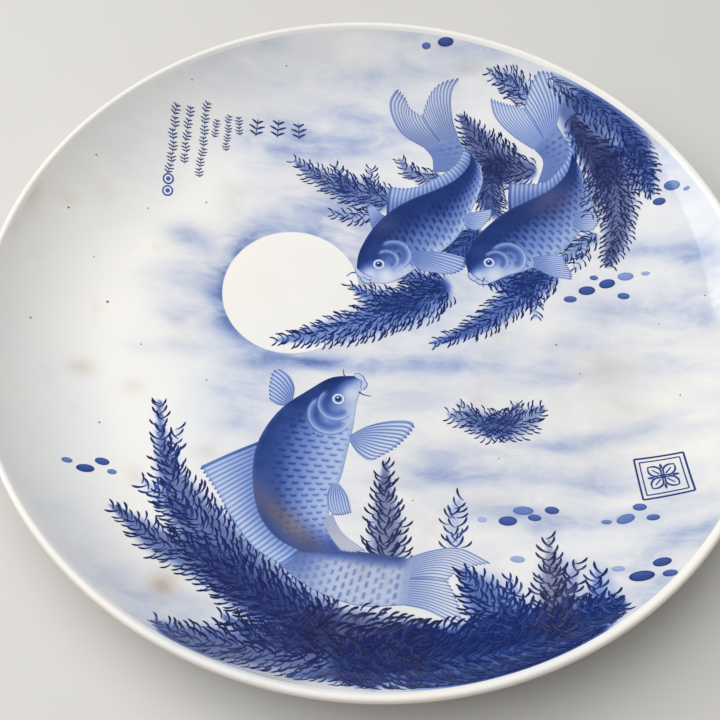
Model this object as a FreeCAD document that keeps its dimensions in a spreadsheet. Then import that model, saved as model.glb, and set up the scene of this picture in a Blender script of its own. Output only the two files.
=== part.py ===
"""A large painted porcelain dish: clay body, foot ring luted under it, and its glaze coats.

The dish is turned about +Z and stands on its foot ring at z = 0. Its section is a chain of tangent
arcs: a slightly dished floor, a wall that steepens towards the rim, a half-round lip, and an outer
wall that runs down to a flat underside. Every glaze coat lies between two such sections, one of
them moved inwards by the thickness of the glaze.
"""
import FreeCAD, Part

import math
import os

import Sketcher

# Driving dimensions in millimetres. Each one is a cell of the Sizes sheet.
SIZES = {
    "rim_radius": 200.0,        # outermost edge of the lip
    "dish_height": 46.0,        # resting plane to the top of the lip
    "lip_thickness": 4.4,       # the half-round lip, measured through the wall
    "floor_radius": 135.0,      # where the floor turns into the wall
    "floor_dip": 3.0,           # the floor's centre lies this much below its edge
    "floor_thickness": 6.0,     # at the centre, glaze included
    "foot_height": 9.0,         # resting plane to the glazed underside
    "foot_radius": 109.0,       # outside of the foot ring where it meets the underside
    "foot_root_width": 9.0,     # width of the ring where it is luted on
    "foot_edge_width": 5.0,     # width of the ring at its resting edge
    "foot_edge_round": 0.9,     # wiped and worn corners of the resting edge
    "luting_depth": 3.0,        # the ring is thrown this much too tall and fitted to the underside
    "bare_foot": 2.5,           # the glaze stops this far above the resting plane
    "glaze": 0.4,               # thickness of every glaze coat
}

FLOOR_ARC = "(Sizes.floor_radius ^ 2 + Sizes.floor_dip ^ 2) / (2 * Sizes.floor_dip)"
HALF_LIP = "Sizes.lip_thickness / 2"
FOOT_MIDDLE = "Sizes.foot_radius - Sizes.foot_root_width / 2"

# Names of the ends and the centre of a sketch's line or arc.
START, END, CENTRE = 1, 2, 3
ORIGIN, UPRIGHT_AXIS = -1, -2

WIDER, TALLER = 1.1, 1.2        # the parting region reaches this much past the rim and the lip
RESTING_TOLERANCE = 0.01        # an edge this low, in millimetres, lies in the resting plane

doc = FreeCAD.newDocument("painted_dish")
sheet = doc.addObject("Spreadsheet::Sheet", "Sizes")
for row, (alias, value) in enumerate(SIZES.items(), start=1):
    sheet.set(f"A{row}", alias)
    sheet.set(f"B{row}", str(value))
    sheet.setAlias(f"B{row}", alias)
doc.recompute()


def size(alias):
    """The number that a cell of the sheet holds."""
    return float(sheet.get(alias))


class Section:
    """Centres, radii and slopes of the glazed dish's arcs, in the (radius, height) half plane."""

    def __init__(self):
        half_lip = size("lip_thickness") / 2
        edge, dip = size("floor_radius"), size("floor_dip")
        self.floor_arc = (edge**2 + dip**2) / (2 * dip)
        self.floor_centre = (0.0, size("foot_height") + size("floor_thickness") + self.floor_arc)
        self.floor_slope = math.asin(edge / self.floor_arc)
        self.lip_arc = half_lip
        self.lip_centre = (size("rim_radius") - half_lip, size("dish_height") - half_lip)
        # An arc half a lip below the wall's face runs from the floor's edge to the lip's centre.
        from_r, from_z = arc_point(self.floor_centre, self.floor_arc + half_lip, self.floor_slope)
        run, rise = self.lip_centre[0] - from_r, self.lip_centre[1] - from_z
        chord_slope = math.atan2(rise, run)
        self.wall_slope = 2 * chord_slope - self.floor_slope
        middle_arc = math.hypot(run, rise) / (2 * math.sin(chord_slope - self.floor_slope))
        self.wall_arc = middle_arc - half_lip
        self.wall_centre = arc_point(self.lip_centre, -middle_arc, self.wall_slope)
        # The outer wall leaves the lip with the same slope and ends level with the underside.
        outer_r, outer_z = arc_point(self.lip_centre, half_lip, self.wall_slope)
        self.outer_arc = (outer_z - size("foot_height")) / (1 - math.cos(self.wall_slope))
        self.outer_centre = arc_point((outer_r, outer_z), -self.outer_arc, self.wall_slope)


def arc_point(centre, radius, slope):
    """The point below an arc's centre where the arc climbs outwards at this slope."""
    return centre[0] + radius * math.sin(slope), centre[1] - radius * math.cos(slope)


section = Section()


def new_sketch(body, name):
    """An empty sketch on the body's own XZ plane: its x is the radius and its y the height."""
    sketch = body.newObject("Sketcher::SketchObject", name)
    plane = next(item for item in body.Origin.OriginFeatures if item.Role == "XZ_Plane")
    sketch.AttachmentSupport = [(plane, "")]
    sketch.MapMode = "FlatFace"
    return sketch


def add_line(sketch, start, end):
    """A straight line of the sketch."""
    return sketch.addGeometry(Part.LineSegment(FreeCAD.Vector(*start, 0), FreeCAD.Vector(*end, 0)))


def add_arc(sketch, centre, radius, from_slope, to_slope):
    """An arc that runs counterclockwise, its slopes measured from the point below its centre."""
    circle = Part.Circle(FreeCAD.Vector(*centre, 0), FreeCAD.Vector(0, 0, 1), radius)
    quarter = math.pi / 2
    return sketch.addGeometry(Part.ArcOfCircle(circle, from_slope - quarter, to_slope - quarter))


def relate(sketch, kind, *where):
    """A relation without a number, such as Tangent or Coincident."""
    sketch.addConstraint(Sketcher.Constraint(kind, *where))


def dimension(sketch, kind, where, value, formula):
    """A dimension of the sketch, bound to a formula of the Sizes sheet."""
    index = sketch.addConstraint(Sketcher.Constraint(kind, *where, value))
    sketch.setExpression(f"Constraints[{index}]", formula)


def place_point(sketch, geometry, point, position, formulas):
    """Both coordinates of a point, bound to formulas."""
    place = (ORIGIN, 1, geometry, point)
    dimension(sketch, "DistanceX", place, position[0], formulas[0])
    dimension(sketch, "DistanceY", place, position[1], formulas[1])


def turn(body, sketch, name):
    """Turn the sketch a full circle about the dish's axis."""
    revolution = body.newObject("PartDesign::Revolution", name)
    revolution.Profile = sketch
    revolution.ReferenceAxis = (sketch, ["V_Axis"])
    revolution.Angle = 360.0
    sketch.Visibility = False
    body.Tip = revolution
    return revolution


def new_body(label):
    """An empty body at the dish's own origin."""
    body = doc.addObject("PartDesign::Body", label)
    body.Label = label
    body.Placement = FreeCAD.Placement()
    return body


def add_face_arcs(sketch, depth, depth_formula):
    """The floor's and the wall's arcs, moved into the clay by depth."""
    floor_arc = section.floor_arc + depth
    floor = add_arc(sketch, section.floor_centre, floor_arc, 0.0, section.floor_slope)
    wall = add_arc(sketch, section.wall_centre, section.wall_arc + depth,
                   section.floor_slope, section.wall_slope)
    relate(sketch, "PointOnObject", floor, CENTRE, UPRIGHT_AXIS)
    relate(sketch, "PointOnObject", floor, START, UPRIGHT_AXIS)
    relate(sketch, "Tangent", floor, END, wall, START)
    dimension(sketch, "Radius", (floor,), floor_arc, f"{FLOOR_ARC} + {depth_formula}")
    dimension(sketch, "DistanceY", (ORIGIN, 1, floor, START),
              section.floor_centre[1] - floor_arc,
              f"Sizes.foot_height + Sizes.floor_thickness - {depth_formula}")
    dimension(sketch, "DistanceX", (ORIGIN, 1, floor, END),
              floor_arc * math.sin(section.floor_slope),
              f"Sizes.floor_radius * (1 + {depth_formula} / ({FLOOR_ARC}))")
    return floor, wall


def dish_blank(label, depth, depth_formula):
    """The whole dish without its foot ring, every surface moved inwards by depth."""
    body = new_body(label)
    sketch = new_sketch(body, f"{label}_section")
    underside_z = size("foot_height") + depth
    floor, wall = add_face_arcs(sketch, depth, depth_formula)
    lip = add_arc(sketch, section.lip_centre, section.lip_arc - depth,
                  section.wall_slope, section.wall_slope + math.pi)
    outer = add_arc(sketch, section.outer_centre, section.outer_arc - depth,
                    0.0, section.wall_slope)
    underside = add_line(sketch, (0, underside_z), (section.outer_centre[0], underside_z))
    middle = add_line(sketch, (0, section.floor_centre[1] - section.floor_arc - depth),
                      (0, underside_z))
    relate(sketch, "Tangent", wall, END, lip, END)
    relate(sketch, "Tangent", outer, END, lip, START)
    relate(sketch, "Tangent", underside, END, outer, START)
    relate(sketch, "Coincident", middle, START, floor, START)
    relate(sketch, "Coincident", middle, END, underside, START)
    relate(sketch, "PointOnObject", underside, START, UPRIGHT_AXIS)
    relate(sketch, "Horizontal", underside)
    place_point(sketch, lip, CENTRE, section.lip_centre,
                (f"Sizes.rim_radius - {HALF_LIP}", f"Sizes.dish_height - {HALF_LIP}"))
    dimension(sketch, "Radius", (lip,), section.lip_arc - depth, f"{HALF_LIP} - {depth_formula}")
    dimension(sketch, "Angle", (lip,), math.pi, "180 deg")
    dimension(sketch, "DistanceY", (ORIGIN, 1, underside, START), underside_z,
              f"Sizes.foot_height + {depth_formula}")
    turn(body, sketch, f"{label}_turned")
    return body


def upper_region(label):
    """Everything above the middle of the wall: it parts the face's glaze from the back's."""
    body = new_body(label)
    sketch = new_sketch(body, f"{label}_section")
    half_lip = size("lip_thickness") / 2
    outside = WIDER * size("rim_radius")
    above = TALLER * size("dish_height")
    floor, wall = add_face_arcs(sketch, half_lip, HALF_LIP)
    lip_r, lip_z = section.lip_centre
    ledge = add_line(sketch, (lip_r, lip_z), (outside, lip_z))
    side = add_line(sketch, (outside, lip_z), (outside, above))
    lid = add_line(sketch, (outside, above), (0, above))
    middle = add_line(sketch, (0, above), (0, section.floor_centre[1] - section.floor_arc))
    for one, other in ((wall, ledge), (ledge, side), (side, lid), (lid, middle)):
        relate(sketch, "Coincident", one, END, other, START)
    relate(sketch, "Coincident", middle, END, floor, START)
    relate(sketch, "PointOnObject", lid, END, UPRIGHT_AXIS)
    relate(sketch, "Horizontal", ledge)
    relate(sketch, "Vertical", side)
    relate(sketch, "Horizontal", lid)
    place_point(sketch, ledge, START, section.lip_centre,
                (f"Sizes.rim_radius - {HALF_LIP}", f"Sizes.dish_height - {HALF_LIP}"))
    place_point(sketch, side, END, (outside, above),
                (f"Sizes.rim_radius * {WIDER}", f"Sizes.dish_height * {TALLER}"))
    turn(body, sketch, f"{label}_turned")
    return body


def foot_blank(label, coat, coat_formula, bottom, bottom_formula):
    """A ring with sloping sides, taller than the foot: its top is fitted to the dish later."""
    body = new_body(label)
    sketch = new_sketch(body, f"{label}_section")
    middle_r = size("foot_radius") - size("foot_root_width") / 2
    top = size("foot_height") + size("luting_depth")
    # The sides lean by the same amount, so both half widths change evenly with the height.
    lean = (size("foot_root_width") - size("foot_edge_width")) / (2 * size("foot_height"))
    half_top = size("foot_edge_width") / 2 + lean * top + coat
    half_bottom = size("foot_edge_width") / 2 + lean * bottom + coat
    corners = [(middle_r - half_top, top), (middle_r - half_bottom, bottom),
               (middle_r + half_bottom, bottom), (middle_r + half_top, top)]
    lean_formula = "(Sizes.foot_root_width - Sizes.foot_edge_width) / (2 * Sizes.foot_height)"
    top_formula = "Sizes.foot_height + Sizes.luting_depth"
    half_formulas = [
        f"(Sizes.foot_edge_width / 2 + {lean_formula} * ({height}) + {coat_formula})"
        for height in (top_formula, bottom_formula)
    ]
    corner_formulas = [
        (f"{FOOT_MIDDLE} - {half_formulas[0]}", top_formula),
        (f"{FOOT_MIDDLE} - {half_formulas[1]}", bottom_formula),
        (f"{FOOT_MIDDLE} + {half_formulas[1]}", bottom_formula),
        (f"{FOOT_MIDDLE} + {half_formulas[0]}", top_formula),
    ]
    lines = [add_line(sketch, corners[index], corners[(index + 1) % 4]) for index in range(4)]
    for index, line in enumerate(lines):
        relate(sketch, "Coincident", line, END, lines[(index + 1) % 4], START)
    for line, corner, formulas in zip(lines, corners, corner_formulas):
        place_point(sketch, line, START, corner, formulas)
    turn(body, sketch, f"{label}_turned")
    return body


def combine(kind, label, base, tool):
    """A boolean of two objects: Part::Cut, Part::Common or Part::Fuse."""
    result = doc.addObject(kind, label)
    result.Label = label
    result.Base = base
    result.Tool = tool
    result.Placement = FreeCAD.Placement()
    return result


# Clay: the dish itself, and the foot ring whose top is fitted to the dish's underside.
clay_body = dish_blank("clay_body", size("glaze"), "Sizes.glaze")
ring_blank = foot_blank("ring_blank", 0.0, "0", 0.0, "0")
doc.recompute()
turned_ring = ring_blank.Tip
resting_corners = [
    f"Edge{number}" for number, edge in enumerate(ring_blank.Shape.Edges, start=1)
    if edge.BoundBox.ZMax < RESTING_TOLERANCE and isinstance(edge.Curve, Part.Circle)
]
worn_edge = ring_blank.newObject("PartDesign::Fillet", "worn_edge")
worn_edge.Base = (turned_ring, resting_corners)
worn_edge.setExpression("Radius", "Sizes.foot_edge_round")
ring_blank.Tip = worn_edge
foot_ring = combine("Part::Cut", "foot_ring", ring_blank, clay_body)

# Glaze: what is left of the glazed outline when the clay is taken out of it.
glazed_dish = dish_blank("glazed_dish", 0.0, "0")
glazed_foot = foot_blank("glazed_foot", size("glaze"), "Sizes.glaze",
                         size("bare_foot"), "Sizes.bare_foot")
glazed_outline = combine("Part::Fuse", "glazed_outline", glazed_dish, glazed_foot)
all_clay = combine("Part::Fuse", "all_clay", clay_body, foot_ring)
all_glaze = combine("Part::Cut", "all_glaze", glazed_outline, all_clay)
upper_half = upper_region("upper_half")
face_glaze = combine("Part::Common", "face_glaze", all_glaze, upper_half)
lower_glaze = combine("Part::Cut", "lower_glaze", all_glaze, upper_half)
within_foot = doc.addObject("Part::Cylinder", "within_foot")
within_foot.setExpression("Radius", FOOT_MIDDLE)
within_foot.setExpression("Height", "Sizes.dish_height")
recess_glaze = combine("Part::Common", "recess_glaze", lower_glaze, within_foot)
back_glaze = combine("Part::Cut", "back_glaze", lower_glaze, within_foot)
doc.recompute()

NODES = [clay_body, foot_ring, face_glaze, back_glaze, recess_glaze]


def check_document():
    """Stop if any object failed or any piece isn't one valid solid."""
    for item in doc.Objects:
        if {"Invalid", "Error"} & set(item.State):
            raise RuntimeError(f"{item.Label} could not be worked out: {item.State}")
    for node in NODES:
        shape = node.Shape
        if shape.isNull() or not shape.isValid() or len(shape.Solids) != 1:
            raise RuntimeError(f"{node.Label} is not one valid solid")


check_document()
os.makedirs("parts", exist_ok=True)
for node in NODES:
    node.Shape.exportStep(f"parts/{node.Label}.step")
    box = node.Shape.optimalBoundingBox()
    print(f"{node.Label}: {node.Shape.Volume / 1000:.1f} cm3, radius {box.XMax:.2f}, "
          f"z {box.ZMin:.2f} to {box.ZMax:.2f}")
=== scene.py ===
# %% [markdown]
# # A blue-and-white porcelain dish, painted by hand
#
# This lesson dresses a plain footed dish in its finishes: white clay, cobalt brushwork and a clear
# glaze. The solid model of the dish comes first, as a fixed frame, and every painted piece is laid
# onto it. All lengths in the painting are millimetres in plan, seen from above, with +Y towards the
# top of the picture; one helper presses them onto the curved face and turns them into metres.

# %% Load the frame
import math

import bpy
import numpy as np
from mathutils import Matrix, Vector


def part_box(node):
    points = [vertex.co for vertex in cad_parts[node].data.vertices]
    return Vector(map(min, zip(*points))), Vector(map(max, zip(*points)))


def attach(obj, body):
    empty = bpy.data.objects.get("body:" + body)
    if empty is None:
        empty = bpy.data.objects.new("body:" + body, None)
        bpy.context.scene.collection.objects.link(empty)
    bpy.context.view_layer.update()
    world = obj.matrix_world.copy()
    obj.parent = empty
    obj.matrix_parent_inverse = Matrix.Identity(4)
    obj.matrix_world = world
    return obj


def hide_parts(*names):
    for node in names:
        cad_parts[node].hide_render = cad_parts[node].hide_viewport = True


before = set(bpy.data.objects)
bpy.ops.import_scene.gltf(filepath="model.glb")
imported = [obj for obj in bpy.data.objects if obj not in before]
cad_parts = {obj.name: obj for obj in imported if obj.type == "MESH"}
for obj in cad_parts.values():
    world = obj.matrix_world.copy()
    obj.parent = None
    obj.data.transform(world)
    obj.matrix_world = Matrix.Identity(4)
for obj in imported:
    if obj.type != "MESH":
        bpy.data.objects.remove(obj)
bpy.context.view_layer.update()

MM = 0.001
print("nodes:", sorted(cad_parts))

# %% [markdown]
# ## The dish's section
#
# A dish is turned on a wheel, so one outline describes all of it. The outline here is a chain of
# arcs: a floor that dips very little, a wall that climbs ever more steeply, a half-round lip. The
# sizes come from the frame's boxes, and only the floor's width and dip, and the lip's thickness,
# are repeated as values. With the arcs as formulas, every painted piece can ask for the height of
# the face under it, which is smoother than asking the model's own triangles.

# %% The face as a formula
FLOOR_RADIUS = 135.0
FLOOR_DIP = 3.0
LIP_THICKNESS = 4.4
GLAZE = 0.4

face_box = [[value / MM for value in corner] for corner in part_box("face_glaze")]
foot_box = [[value / MM for value in corner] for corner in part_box("foot_ring")]
RIM = round(face_box[1][0], 1)
LIP_TOP = round(face_box[1][2], 1)
HALF_LIP = LIP_THICKNESS / 2
FLOOR_LOW = round(face_box[0][2], 1) + GLAZE
LIP_R, LIP_Z = RIM - HALF_LIP, LIP_TOP - HALF_LIP

FLOOR_ARC = (FLOOR_RADIUS**2 + FLOOR_DIP**2) / (2 * FLOOR_DIP)
FLOOR_CENTRE_Z = FLOOR_LOW + FLOOR_ARC
FLOOR_SLOPE = math.asin(FLOOR_RADIUS / FLOOR_ARC)
middle_r = (FLOOR_ARC + HALF_LIP) * math.sin(FLOOR_SLOPE)
middle_z = FLOOR_CENTRE_Z - (FLOOR_ARC + HALF_LIP) * math.cos(FLOOR_SLOPE)
chord_slope = math.atan2(LIP_Z - middle_z, LIP_R - middle_r)
WALL_SLOPE = 2 * chord_slope - FLOOR_SLOPE
chord = math.hypot(LIP_R - middle_r, LIP_Z - middle_z)
MIDDLE_ARC = chord / (2 * math.sin(chord_slope - FLOOR_SLOPE))
WALL_ARC = MIDDLE_ARC - HALF_LIP
WALL_R = LIP_R - MIDDLE_ARC * math.sin(WALL_SLOPE)
WALL_Z = LIP_Z + MIDDLE_ARC * math.cos(WALL_SLOPE)


def face_height(radius):
    """Height of the glazed face at a distance from the axis, in millimetres."""
    floor = FLOOR_CENTRE_Z - np.sqrt(FLOOR_ARC**2 - np.minimum(radius, FLOOR_RADIUS) ** 2)
    reach = np.clip(radius, FLOOR_RADIUS, LIP_R) - WALL_R
    wall = WALL_Z - np.sqrt(WALL_ARC**2 - reach**2)
    return np.where(radius < FLOOR_RADIUS, floor, wall)


def face_slope(radius):
    """How steeply the face climbs outwards there, in radians."""
    floor = np.arcsin(np.minimum(radius, FLOOR_RADIUS) / FLOOR_ARC)
    wall = np.arcsin((np.clip(radius, FLOOR_RADIUS, LIP_R) - WALL_R) / WALL_ARC)
    return np.where(radius < FLOOR_RADIUS, floor, wall)


def press(plan, lift):
    """Plan points in millimetres, laid on the face and raised off it, as metres in space."""
    plan = np.asarray(plan, float)
    radius = np.hypot(plan[:, 0], plan[:, 1])
    slope = face_slope(radius)
    outward = plan / np.maximum(radius, 1e-6)[:, None]
    flat = plan - outward * (np.sin(slope) * lift)[:, None]
    height = face_height(radius) + np.cos(slope) * lift
    return np.column_stack([flat, height]) * MM


print("rim radius", RIM, "wall slope", round(math.degrees(WALL_SLOPE), 1), "degrees")

# %% [markdown]
# ## Camera and light
#
# The camera and the lights are set before any piece is made, so that every trial picture can be
# judged. The dish is seen from about 59 degrees above its rim, close enough that it fills the
# frame and a little of it is cut off left and right.

# %% Camera
scene = bpy.context.scene
scene.view_settings.view_transform = "Standard"
ELEVATION = math.radians(59.21)
ROLL = math.radians(3.80)
DISTANCE = 665.2
AIM = Vector((-6.28, -28.44, LIP_Z))
FIELD_OF_VIEW = math.radians(30.0)

away = Vector((0.0, -math.cos(ELEVATION), math.sin(ELEVATION)))
camera_data = bpy.data.cameras.new("studio_camera")
camera_data.sensor_width = 36.0
camera_data.angle = FIELD_OF_VIEW
camera_data.clip_start = 0.01
camera = bpy.data.objects.new("studio_camera", camera_data)
scene.collection.objects.link(camera)
turned = away.to_track_quat("Z", "Y").to_matrix().to_4x4()
camera.matrix_world = (Matrix.Translation((AIM + away * DISTANCE) * MM) @ turned
                       @ Matrix.Rotation(ROLL, 4, "Z"))
scene.camera = camera
print("camera at", [round(value, 3) for value in camera.matrix_world.translation])


# %% [markdown]
# The light is two panels and a dim sky. The left panel leaves a soft reflection on the glaze, and the
# overhead one lights the painting without being mirrored in it, so that the brushwork stays clear.

# %% Lights
def panel_light(name, place, size, power, colour=(1.0, 1.0, 1.0)):
    """A soft square light panel, in metres, facing the dish."""
    data = bpy.data.lights.new(name, "AREA")
    data.shape = "RECTANGLE"
    data.size, data.size_y = size
    data.energy = power
    data.color = colour
    light = bpy.data.objects.new(name, data)
    scene.collection.objects.link(light)
    light.location = place
    light.rotation_euler = Vector(place).to_track_quat("Z", "Y").to_euler()
    return light


panel_light("left_panel", (-1.9, 0.5, 1.3), (1.5, 1.1), 16.0)
overhead = panel_light("overhead_panel", (-0.7, 0.1, 2.1), (2.6, 2.6), 56.0)
overhead.visible_glossy = False

world = bpy.data.worlds.new("studio_air")
scene.world = world
world.use_nodes = True
world.node_tree.nodes["Background"].inputs["Color"].default_value = (0.97, 0.985, 1.0, 1.0)
world.node_tree.nodes["Background"].inputs["Strength"].default_value = 0.22


# %% [markdown]
# ## Shader groups that every finish shares
#
# Three effects turn up in more than one finish, so each is a node group that is built once. The
# ground is the white clay seen through the glaze, with its slow drift in warmth and its faint
# stains. The cobalt group turns a painted tone between 0 and 1 into the colour that a wash of that
# strength lets through. The ripple group is the glaze's own uneven surface. Groups only put out
# colours and values, and each finish keeps its own Principled shader.

# %% Small helpers for node trees
def new_group(name, inputs, outputs):
    """A shader group with float, colour or vector sockets, given as (name, kind, default)."""
    group = bpy.data.node_groups.new(name, "ShaderNodeTree")
    for title, kind, default in inputs:
        socket = group.interface.new_socket(title, in_out="INPUT", socket_type=f"NodeSocket{kind}")
        if default is not None:
            socket.default_value = default
    for title, kind in outputs:
        group.interface.new_socket(title, in_out="OUTPUT", socket_type=f"NodeSocket{kind}")
    return group, group.nodes.new("NodeGroupInput"), group.nodes.new("NodeGroupOutput")


def node(tree, kind, settings=None, **values):
    """A node with its settings, its sockets filled by value or linked from another socket."""
    made = tree.nodes.new(kind)
    for key, value in (settings or {}).items():
        setattr(made, key, value)
    for key, value in values.items():
        socket = made.inputs[int(key[1:]) if key[1:].isdigit() else key.replace("_", " ")]
        if isinstance(value, bpy.types.NodeSocket):
            tree.links.new(value, socket)
        else:
            socket.default_value = value
    return made


def maths(tree, operation, *values):
    """The output of a Math node."""
    made = node(tree, "ShaderNodeMath", {"operation": operation},
                **{f"_{index}": value for index, value in enumerate(values)})
    return made.outputs[0]


def blend_colour(tree, factor, one, other, mode="MIX"):
    """The output of a colour Mix node."""
    made = tree.nodes.new("ShaderNodeMix")
    made.data_type = "RGBA"
    made.blend_type = mode
    for index, value in ((0, factor), (6, one), (7, other)):
        if isinstance(value, bpy.types.NodeSocket):
            tree.links.new(value, made.inputs[index])
        else:
            made.inputs[index].default_value = value
    return made.outputs[2]


def colour_ramp(tree, factor, stops):
    """The colour output of a ramp with (place, red, green, blue) stops."""
    made = tree.nodes.new("ShaderNodeValToRGB")
    elements = made.color_ramp.elements
    while len(elements) < len(stops):
        elements.new(0.5)
    for element, (place, *colour) in zip(elements, stops):
        element.position = place
        element.color = (*colour, 1.0)
    tree.links.new(factor, made.inputs["Fac"])
    return made.outputs["Color"]


# %% The ground group
def build_ground_group():
    """White clay through glaze: warm and cool drift, faint tea stains and iron specks."""
    group, _, out = new_group("porcelain_ground", [], [("Color", "Color")])
    where = node(group, "ShaderNodeTexCoord").outputs["Object"]
    drift = node(group, "ShaderNodeTexNoise", Vector=where, Scale=9.0, Detail=3.0).outputs["Fac"]
    colour = colour_ramp(group, drift, [(0.32, 0.78, 0.785, 0.775), (0.5, 0.835, 0.815, 0.775),
                                        (0.68, 0.86, 0.83, 0.76)])
    smoke = node(group, "ShaderNodeTexNoise", Vector=where, Scale=26.0, Detail=5.0,
                 Roughness=0.6).outputs["Fac"]
    faint = node(group, "ShaderNodeMapRange", {"interpolation_type": "SMOOTHSTEP"},
                 Value=smoke, From_Min=0.58, From_Max=0.85, To_Max=0.45).outputs[0]
    marked = node(group, "ShaderNodeAttribute", {"attribute_name": "stain"}).outputs["Fac"]
    grain = node(group, "ShaderNodeMapRange", Value=smoke, From_Min=0.3, From_Max=0.7,
                 To_Min=0.3, To_Max=1.3).outputs[0]
    stain = maths(group, "MAXIMUM", faint, maths(group, "MULTIPLY", marked, grain))
    colour = blend_colour(group, stain, colour, (0.55, 0.46, 0.35, 1.0))
    cells = node(group, "ShaderNodeTexVoronoi", Vector=where, Scale=75.0)
    speck = maths(group, "LESS_THAN", cells.outputs["Distance"], 0.035)
    pick = node(group, "ShaderNodeSeparateColor", Color=cells.outputs["Color"]).outputs[0]
    rare = maths(group, "GREATER_THAN", pick, 0.95)
    colour = blend_colour(group, maths(group, "MULTIPLY", speck, rare), colour,
                          (0.05, 0.03, 0.022, 1.0))
    group.links.new(colour, out.inputs["Color"])
    return group


# %% [markdown]
# Cobalt is nearly black where the brush is loaded and pale sky blue where it is thinned with water.
# A colour ramp holds that series, and two noises make a wash pool and grain. Where the pigment lay
# too thick it fires to a rusty brown, so a second ramp holds the same series in brown.

# %% The cobalt group
def build_cobalt_group():
    """What a wash of cobalt lets through: tone 0 is bare ground, 1 is the darkest brushmark."""
    group, into, out = new_group(
        "cobalt_wash",
        [("Tone", "Float", 0.0), ("Iron", "Float", 0.0), ("Mottle", "Float", 0.3)],
        [("Color", "Color")])
    where = node(group, "ShaderNodeTexCoord").outputs["Object"]
    pooled = node(group, "ShaderNodeTexNoise", Vector=where, Scale=70.0, Detail=4.0,
                  Roughness=0.6).outputs["Fac"]
    grains = node(group, "ShaderNodeTexNoise", Vector=where, Scale=900.0, Detail=2.0).outputs["Fac"]
    uneven = maths(group, "ADD", maths(group, "MULTIPLY_ADD", pooled, 1.5, -0.75),
                   maths(group, "MULTIPLY_ADD", grains, 0.5, -0.25))
    share = maths(group, "MULTIPLY_ADD", uneven, into.outputs["Mottle"], 1.0)
    tone = maths(group, "MULTIPLY", into.outputs["Tone"], share)
    blue = colour_ramp(group, tone, [
        (0.0, 1.0, 1.0, 1.0), (0.15, 0.74, 0.80, 0.95), (0.30, 0.44, 0.56, 0.88),
        (0.50, 0.17, 0.275, 0.66), (0.70, 0.062, 0.125, 0.43), (0.85, 0.018, 0.052, 0.245),
        (1.0, 0.005, 0.018, 0.14)])
    brown = colour_ramp(group, tone, [
        (0.0, 1.0, 1.0, 1.0), (0.15, 0.78, 0.76, 0.76), (0.30, 0.53, 0.50, 0.53),
        (0.50, 0.25, 0.24, 0.31), (0.70, 0.11, 0.105, 0.19), (1.0, 0.02, 0.02, 0.07)])
    group.links.new(blend_colour(group, into.outputs["Iron"], blue, brown), out.inputs["Color"])
    return group


# %% [markdown]
# A clear glaze melts and sets again, and its surface keeps a slow swell and a fine orange-peel.
# Neither would show in the mesh, so both are a bump that bends the light on the glossy surface.

# %% The glaze's ripple
def build_ripple_group():
    """The fired glaze is never quite level: broad swells and a fine orange-peel."""
    group, into, out = new_group("glaze_ripple", [("Depth", "Float", 0.1)], [("Normal", "Vector")])
    where = node(group, "ShaderNodeTexCoord").outputs["Object"]
    swell = node(group, "ShaderNodeTexNoise", Vector=where, Scale=14.0, Detail=2.0).outputs["Fac"]
    peel = node(group, "ShaderNodeTexNoise", Vector=where, Scale=260.0, Detail=1.0).outputs["Fac"]
    height = maths(group, "MULTIPLY_ADD", peel, 0.035, swell)
    bump = node(group, "ShaderNodeBump", Height=height, Strength=into.outputs["Depth"],
                Distance=0.004)
    group.links.new(bump.outputs["Normal"], out.inputs["Normal"])
    return group


GROUND = build_ground_group()
COBALT = build_cobalt_group()
RIPPLE = build_ripple_group()
print("shader groups:", GROUND.name, COBALT.name, RIPPLE.name)


# %% [markdown]
# Painted pieces share one finish, which reads its tone from the piece's own vertices. A glossy
# Principled shader over a painted ground is enough for a clear glaze on clay: its one reflection is
# the glaze's, and everything under that is colour.

# %% A glazed finish
# The moon is a bare disc that the sky's washes are kept off. A mask in the finish keeps its edge
# sharp, which the face's vertices are too far apart for.
MOON = (-45.5, 28.3)
MOON_SIZE = (36.8, 38.8)


def place_group(tree, group, **values):
    """A shader group placed in a material."""
    made = tree.nodes.new("ShaderNodeGroup")
    made.node_tree = group
    for name, value in values.items():
        if isinstance(value, bpy.types.NodeSocket):
            tree.links.new(value, made.inputs[name])
        else:
            made.inputs[name].default_value = value
    return made


def new_finish(name, roughness=0.07):
    """A material whose Principled shader is a diffuse ground under one clear, glossy surface."""
    material = bpy.data.materials.new(name)
    material.use_nodes = True
    shader = material.node_tree.nodes["Principled BSDF"]
    shader.inputs["Roughness"].default_value = roughness
    shader.inputs["IOR"].default_value = 1.5
    return material, material.node_tree, shader


def painted_finish(name, mottle, ripple=0.06):
    """Cobalt brushwork under the glaze, its tone read from the piece's own attributes."""
    material, tree, shader = new_finish(name)
    tone = node(tree, "ShaderNodeAttribute", {"attribute_name": "tone"}).outputs["Fac"]
    iron = node(tree, "ShaderNodeAttribute", {"attribute_name": "iron"}).outputs["Fac"]
    paint = place_group(tree, COBALT, Tone=tone, Iron=iron, Mottle=mottle)
    ground = place_group(tree, GROUND)
    colour = blend_colour(tree, 1.0, ground.outputs[0], paint.outputs[0], "MULTIPLY")
    tree.links.new(colour, shader.inputs["Base Color"])
    tree.links.new(place_group(tree, RIPPLE, Depth=ripple).outputs[0], shader.inputs["Normal"])
    return material


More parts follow.
